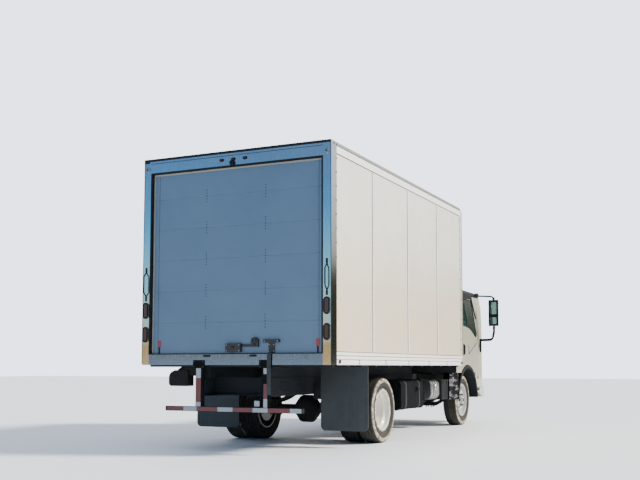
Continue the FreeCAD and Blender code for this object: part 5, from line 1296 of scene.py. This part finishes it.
def build_door_trim():
    """A handle in its dark cup, a lock, an amber signal lamp and a crease on each door, drawn as a thin dark
    tube of painted shade.
    """
    cup = plate((CAB_HALF - 0.001, CAB_HALF + 0.004), (-2.165, -2.055), (1.133, 1.310), 0.022)
    grip = plate((CAB_HALF + 0.003, CAB_HALF + 0.016), (-2.150, -2.120), (1.150, 1.292), 0.010)
    lock = turned([(0.011, 0.0), (0.011, 0.003), (0.008, 0.004)], "X", 16)
    lock = moved(lock, CAB_HALF + 0.003, -2.088, 1.168)
    base = round_outline((-2.955, -2.887), (0.742, 0.782), 0.018, 5)
    base = prism(base, "X", CAB_HALF - 0.001, CAB_HALF + 0.004)
    lens = round_outline((-2.950, -2.892), (0.747, 0.777), 0.014, 5)
    lens = prism(lens, "X", CAB_HALF, CAB_HALF + 0.012)
    # The door's crease is drawn as a thin dark tube: painted shade.
    bends = ((-2.386, 1.300), (-2.397, 1.152), (-2.858, 1.343))
    crease_shade = sweep([(CAB_HALF - 0.001, y, z) for y, z in bends], 0.0075, 8)
    for name, side in SIDES.items():
        door = "door_" + name
        make("handle_cup_" + name, sided(cup, side), "seal", door, bevel=0.0015)
        make("handle_grip_" + name, sided(merge(grip, lock), side), "plastic", door, bevel=0.003)
        make("signal_base_" + name, sided(base, side), "plastic", door)
        make("signal_lens_" + name, sided(lens, side), "amber", door, bevel=0.004, segments=3)
        make("door_crease_shade_" + name, sided(crease_shade, side), "seal", door)


def build_grille():
    """A dark backing with upright fins behind the grille's slots."""
    back = plate((-0.640, 0.640), (-3.424, -3.420), (0.930, 1.122), 0.01)
    make("grille_backing", back, "seal")
    fin = prism([(-0.0025, -3.455), (0.0025, -3.455), (0.0025, -3.424), (-0.0025, -3.424)], "Z", 0.944, 1.108)
    make("grille_fins", copies(fin, [(x, 0, 0) for x in np.linspace(-0.58, 0.58, 30)]), "plastic")


def build_headlamps():
    """Two reflectors and a back behind each headlamp's lens, and a dark frame round it that follows
    the cab's front: the lens outline, at even steps of its length."""
    bowl = np.array([(BOWL_RADIUS, 0.0), (0.056, 0.018), (0.040, 0.038), (0.018, 0.048), (0.006, 0.050)])
    bowls = []
    for x, size in zip(BOWL_PLACES, (1.0, 0.95)):
        dish = turned(bowl * (size, 1.0), "Y", 24)
        bowls.append(moved(dish, x, front_y(x, BOWL_HEIGHT) + 0.044, BOWL_HEIGHT))
    make("lamp_bowls", both(merge(*bowls)), "chrome")
    make("lamp_backs", both(plate(LAMP_ACROSS, (-3.330, -3.322), LAMP_UP, 0.02)), "plastic")
    edge = [(LAMP_ACROSS[0], LAMP_UP[0]), (LAMP_ACROSS[1], LAMP_UP[0]),
            (LAMP_ACROSS[1], LAMP_UP[1]), (LAMP_ACROSS[0], LAMP_UP[1])]
    edge = rounded(edge, [0.035] * 4)
    edge = np.concatenate([edge, edge[:1]])
    run = np.concatenate([[0.0], np.cumsum(np.linalg.norm(np.diff(edge, axis=0), axis=1))])
    at = np.linspace(0.0, run[-1], 96, endpoint=False)
    x, z = np.interp(at, run, edge[:, 0]), np.interp(at, run, edge[:, 1])
    path = np.column_stack([x, front_y(x, z), z])
    make("lamp_frames", both(sweep(path, 0.0055, 8, closed=True)), "seal")


def build_steps():
    """Rubber treads on the entry steps."""
    treads = [plate((0.876, 1.034), (y, y + 0.012), (0.5445, 0.5475), 0.003)
              for y in np.arange(-2.990, -2.868, 0.020)]
    make("step_treads", both(merge(*treads)), "seal")


def build_mirrors():
    """Two panes in a dark rim on each mirror, and rubber sleeves and clamps on its arms."""
    face = -3.034
    arm_y = -3.070
    stem = 1.282
    pane = (face - 0.0005, face + 0.004)
    upper = plate((1.224, 1.338), pane, (1.832, 2.048), 0.026, 6)
    lower = plate((1.224, 1.338), pane, (1.664, 1.782), 0.026, 6)
    rim = plate((1.200, 1.364), (face - 0.002, face + 0.0025), (1.636, 2.076), 0.050, 8)
    turn = np.radians([-90, -75, -60, -45, -30, -13])
    bend = np.column_stack([1.204 + 0.060 * np.cos(turn), np.full(6, arm_y), 1.4623 + 0.060 * np.sin(turn)])
    rise = [(1.2805, arm_y, 1.5270), (stem, arm_y, 1.5410), (stem, arm_y, 1.6300)]
    arm = np.concatenate([[(1.024, arm_y, 1.3995)], bend, rise])
    clamp = turned([(0.0135, -0.018), (0.021, -0.018), (0.021, 0.018), (0.0135, 0.018)], "Z", 16)
    make("mirror_rims", both(rim), "seal")
    make("mirror_sleeves", both(sweep(arm, 0.0195, 12)), "seal")
    make("mirror_glasses", both(merge(upper, lower)), "mirror", bevel=0.001)
    make("mirror_clamps", both(copies(clamp, [(stem, arm_y, z) for z in (1.600, 2.105)])), "plastic")


def build_cab_trim():
    """A black cover low on the cab's back wall, dried splash behind the front wheels, a dark roof
    visor that follows the cab's front above the windshield, and rain strips over the doors."""
    cover = plate((-1.020, 1.020), (-1.7305, -1.722), (0.851, 1.300), 0.03)
    make("cab_back_cover", cover, "plastic", bevel=0.002)
    sill = plate((-1.028, 1.028), (-1.790, -1.7225), (0.846, 0.852), 0.002)
    make("cab_sill_cover", sill, "plastic")
    outline = [(-1.030, 0.430), (-0.885, 0.430), (-0.885, 0.780), (-0.905, 0.905), (-1.030, 0.905)]
    splash = prism(outline, "Y", -1.779, -1.772)
    make("arch_splash", both(splash), "splash", bevel=0.002)
    half = 0.990
    x = half * np.sin(np.linspace(-1, 1, 61) * np.pi / 2)
    back = -3.205 + 0.17 * (np.abs(x) / half) ** 22
    section = ((2.206, 0.000), (2.204, -0.090), (2.190, -0.160),
               (2.178, -0.168), (2.176, -0.090), (2.160, 0.004))
    rows = [np.column_stack([x, back + out, np.full(len(x), rise)]) for rise, out in section]
    first = [row * len(x) for row in range(len(rows))]
    last = [corner + len(x) - 1 for corner in first]
    faces = grid_faces(len(rows), len(x), wrap_rows=True) + [first, last[::-1]]
    make("sun_visor", (np.concatenate(rows), faces), "seal")
    strip = [(-2.000, 2.060), (-2.000, 2.148), (-2.740, 2.128),
             (-2.905, 1.760), (-2.885, 1.740), (-2.700, 2.075)]
    strip = rounded(strip, [0.02, 0.03, 0.08, 0.006, 0.006, 0.05])
    skins = [np.column_stack([side_x(strip[:, 1]) + out, strip]) for out in (0.002, 0.012)]
    faces = grid_faces(2, len(strip), wrap_columns=True) + end_faces(2, len(strip))
    for name, side in SIDES.items():
        make("rain_strip_" + name, sided((np.concatenate(skins), faces), side), "seal", "door_" + name)


build_cab_trim()
build_cab_glazing()
build_wipers()
build_door_trim()
build_grille()
build_headlamps()
build_steps()
build_mirrors()


# Seats and dashboard.

# Each pad's extent across, along and up, and the number of its sewn channels.
PADS = {
    "driver_cushion": ((0.085, 0.595), (-2.470, -2.010), (0.985, 1.180), 4),
    "driver_back": ((0.085, 0.595), (-2.035, -1.845), (1.175, 1.610), 4),
    "mate_cushion": ((-0.855, -0.025), (-2.470, -2.010), (0.985, 1.180), 6),
    "mate_back": ((-0.855, -0.025), (-2.035, -1.845), (1.175, 1.610), 6),
}


# How far the steering wheel leans back.
COLUMN_TILT = math.radians(40)


def power(value):
    """A value raised to 0.28 with its sign kept."""
    return np.sign(value) * np.abs(value) ** 0.28


def pad_shape(x, y, z):
    """A block with well rounded edges: a superellipsoid, each direction's cosine or sine raised to
    a power of 0.28 and stretched to the pad's half sizes."""
    rows, columns = 40, 72
    shrink = 0.012
    lat = np.linspace(-np.pi / 2 + 0.02, np.pi / 2 - 0.02, rows)[:, None]
    turn = np.linspace(0, 2 * np.pi, columns, endpoint=False)[None, :]
    half = [(high - low) / 2 - shrink for low, high in (x, y, z)]
    middle = [(high + low) / 2 for low, high in (x, y, z)]
    points = np.stack([
        middle[0] + half[0] * power(np.cos(lat)) * power(np.cos(turn)),
        middle[1] + half[1] * power(np.cos(lat)) * power(np.sin(turn)),
        middle[2] + half[2] * power(np.sin(lat)) + 0 * turn,
    ], -1).reshape(-1, 3)
    return points, grid_faces(rows, columns, wrap_columns=True) + end_faces(rows, columns)


def read_points(mesh, label):
    """A value of each point of a mesh, its place (co) or its normal, as rows of three."""
    values = np.empty(len(mesh.vertices) * 3)
    mesh.vertices.foreach_get(label, values)
    return values.reshape(-1, 3)


def puff(piece, voxel, cap):
    """Fill a pad with air: even the mesh, let cloth swell under pressure without gravity for 20
    frames, hold each point to the cap, and keep the result as the mesh."""
    scene = bpy.context.scene
    last = 20
    even = piece.modifiers.new("even", "REMESH")
    even.mode = "VOXEL"
    even.voxel_size = voxel
    bpy.context.view_layer.update()
    graph = bpy.context.evaluated_depsgraph_get()
    data = bpy.data.meshes.new_from_object(piece.evaluated_get(graph))
    piece.modifiers.clear()
    piece.data = data
    rest = read_points(data, "co")
    cloth = piece.modifiers.new("cloth", "CLOTH")
    cloth.settings.use_pressure = True
    cloth.settings.uniform_pressure_force = 4.0
    cloth.settings.effector_weights.gravity = 0.0
    cloth.settings.quality = 4
    cloth.point_cache.frame_start, cloth.point_cache.frame_end = 1, last
    for moment in range(1, last + 1):
        scene.frame_set(moment)
    graph = bpy.context.evaluated_depsgraph_get()
    swollen = bpy.data.meshes.new_from_object(piece.evaluated_get(graph))
    piece.modifiers.clear()
    step = read_points(swollen, "co") - rest
    length = np.linalg.norm(step, axis=1, keepdims=True)
    step *= np.minimum(1.0, cap / np.maximum(length, 1e-9))
    swollen.vertices.foreach_set("co", (rest + step).reshape(-1))
    piece.data = swollen
    swollen.update()
    scene.frame_set(1)


def sew(piece, x, z_up, channels):
    """Sewn channels: the side that faces the sitter dips along lines across the pad, as the cosine
    raised to a power of 12, which is narrow at each line."""
    deep = 0.007
    data = piece.data
    place, normal = read_points(data, "co"), read_points(data, "normal")
    share = (place[:, 0] - x[0]) / (x[1] - x[0]) * channels
    line = np.maximum(0.0, np.cos(2 * np.pi * share)) ** 12
    facing = np.clip(normal[:, 2] if z_up else -normal[:, 1], 0, 1)
    place -= normal * (deep * line * facing)[:, None]
    data.vertices.foreach_set("co", place.reshape(-1))
    data.update()


def build_seats():
    """Cushions and backs of the driver's seat and the double seat, with a pedestal under each."""
    pieces = []
    for name, (x, y, z, channels) in PADS.items():
        pad = make(name, pad_shape(x, y, z), "seat")
        puff(pad, 0.012, 0.011)
        sew(pad, x, name.endswith("cushion"), channels)
        pad.data.materials.clear()
        pad.data.materials.append(MATERIALS["seat"])
        pad.data.shade_smooth()
        soft = pad.modifiers.new("soft", "SUBSURF")
        soft.levels = soft.render_levels = 1
        pieces.append(pad)
    feet = [
        plate((0.10, 0.58), (-2.44, -1.90), (0.9755, 0.992), 0.03),
        plate((-0.84, -0.04), (-2.44, -1.90), (0.9755, 0.992), 0.03),
    ]
    base = make("seat_bases", merge(*feet), "plastic", bevel=0.003)
    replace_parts(base, "seats")
    for pad in pieces:
        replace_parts(pad, "seats")
    hinge = turned([(0.030, -0.006), (0.030, 0.006)], "X", 20)
    make("seat_hinges", copies(hinge, [(x, -2.000, 1.130) for x in (0.072, 0.602)]), "plastic")


def build_dash():
    """Air vents with their slats, an instrument hood and the steering wheel's boss."""
    vents, slats = [], []
    face = -3.076
    for x in (-0.68, -0.22, 0.05, 0.64):
        across = (x - 0.070, x + 0.070)
        vents.append(hoop(across, (1.300, 1.360), 0.014, 0.006, "Y", face - 0.004, face + 0.008))
        slats += [plate(across, (face - 0.002, face + 0.004), (z, z + 0.004)) for z in (1.312, 1.327, 1.342)]
    make("dash_vents", merge(*vents, *slats), "plastic")
    angle = np.linspace(0, np.pi, 14)
    arch = np.column_stack([0.34 + 0.150 * np.cos(angle), np.full(14, -3.110), 1.400 + 0.055 * np.sin(angle)])
    make("instrument_hood", sweep(arch, 0.012, 10, flat=0.6), "dash")
    points, faces = turned([(0.062, 0.0), (0.062, 0.022), (0.045, 0.036), (0.015, 0.040)], "Z", 24)
    lean, rise = math.sin(COLUMN_TILT), math.cos(COLUMN_TILT)
    across, along, up = points.T
    spun = np.column_stack([across, along * rise + up * lean, -along * lean + up * rise])
    make("steering_boss", (spun + (0.34, -2.925, 1.462), faces), "plastic")


build_seats()
build_dash()


# Floor, backdrop and light.


def build_stage():
    """A plain pale floor under the truck."""
    size = 60.0
    data = bpy.data.meshes.new("studio_floor")
    corners = [(-size, -size, 0), (size, -size, 0), (size, size, 0), (-size, size, 0)]
    data.from_pydata(corners, [], [(0, 1, 2, 3)])
    floor = bpy.data.objects.new("studio_floor", data)
    bpy.context.scene.collection.objects.link(floor)
    material = bpy.data.materials.new("studio_floor")
    material.use_nodes = True
    shader = material.node_tree.nodes["Principled BSDF"]
    shader.inputs["Base Color"].default_value = (0.88, 0.93, 1.0, 1)
    shader.inputs["Roughness"].default_value = 0.55
    data.materials.append(material)


def sky_ramp(tree, factor, stops):
    """A colour for each height of the sky, given as (height from 0 under foot to 1 overhead, colour)."""
    sky = tree.nodes.new("ShaderNodeValToRGB")
    ends = sky.color_ramp.elements
    ends[0].position, ends[0].color = stops[0][0], (*stops[0][1], 1)
    ends[1].position, ends[1].color = stops[-1][0], (*stops[-1][1], 1)
    for position, colour in stops[1:-1]:
        ends.new(position).color = (*colour, 1)
    tree.links.new(factor, sky.inputs[0])
    return sky.outputs[0]


# The sky behind the truck and ahead of it: height from 0 under foot to 1 overhead, and colour.
REAR_SKY = [
    (0.470, (0.42, 0.38, 0.32)), (0.503, (0.70, 0.48, 0.22)), (0.512, (0.80, 0.62, 0.34)),
    (0.522, (0.62, 0.82, 0.74)), (0.540, (0.48, 0.95, 1.00)), (0.556, (0.28, 0.78, 1.00)),
    (0.572, (0.12, 0.50, 0.96)), (0.598, (0.06, 0.32, 0.76)), (0.607, (0.15, 0.26, 0.44)),
    (0.640, (0.16, 0.27, 0.43)), (0.760, (0.36, 0.50, 0.76)), (1.000, (0.70, 0.78, 0.90)),
]
FRONT_SKY = [
    (0.470, (0.50, 0.44, 0.36)), (0.503, (0.10, 0.10, 0.08)), (0.545, (0.13, 0.14, 0.12)),
    (0.562, (0.60, 0.54, 0.47)), (0.600, (1.00, 1.00, 0.96)), (0.760, (0.95, 0.98, 1.00)),
    (1.000, (0.80, 0.88, 1.00)),
]


def build_light():
    """A warm low key light on the kerb side, and a soft sky that is blue behind and pale ahead."""
    sun = bpy.data.lights.new("warm_key", "SUN")
    sun.energy = 7.6
    sun.color = (1.0, 0.91, 0.79)
    sun.angle = 0.16
    lamp = bpy.data.objects.new("warm_key", sun)
    towards = Vector((0.74, 0.29, -0.60))
    lamp.rotation_euler = towards.to_track_quat("-Z", "Y").to_euler()
    bpy.context.scene.collection.objects.link(lamp)
    world = bpy.data.worlds.new("studio")
    bpy.context.scene.world = world
    world.use_nodes = True
    tree = world.node_tree
    tree.nodes.clear()
    out = tree.nodes.new("ShaderNodeOutputWorld")
    where = tree.nodes.new("ShaderNodeTexCoord").outputs["Generated"]
    at = parts_of(tree, where)
    half = plus(tree, times(tree, at["Z"], 0.5), 0.5)
    ahead = ramp(tree, at["Y"], 0.15, -0.15)
    sky = blend_colour(tree, ahead, sky_ramp(tree, half, REAR_SKY), sky_ramp(tree, half, FRONT_SKY))
    lit = tree.nodes.new("ShaderNodeBackground")
    lit.inputs["Strength"].default_value = 1.15
    tree.links.new(sky, lit.inputs["Color"])
    seen = tree.nodes.new("ShaderNodeBackground")
    seen.inputs["Color"].default_value = (0.80, 0.88, 1.0, 1)
    seen.inputs["Strength"].default_value = 3.4
    mix = tree.nodes.new("ShaderNodeMixShader")
    wire(tree, [
        (tree.nodes.new("ShaderNodeLightPath").outputs["Is Camera Ray"], mix.inputs[0]),
        (lit.outputs[0], mix.inputs[1]), (seen.outputs[0], mix.inputs[2]), (mix.outputs[0], out.inputs[0]),
    ])


build_stage()
build_light()
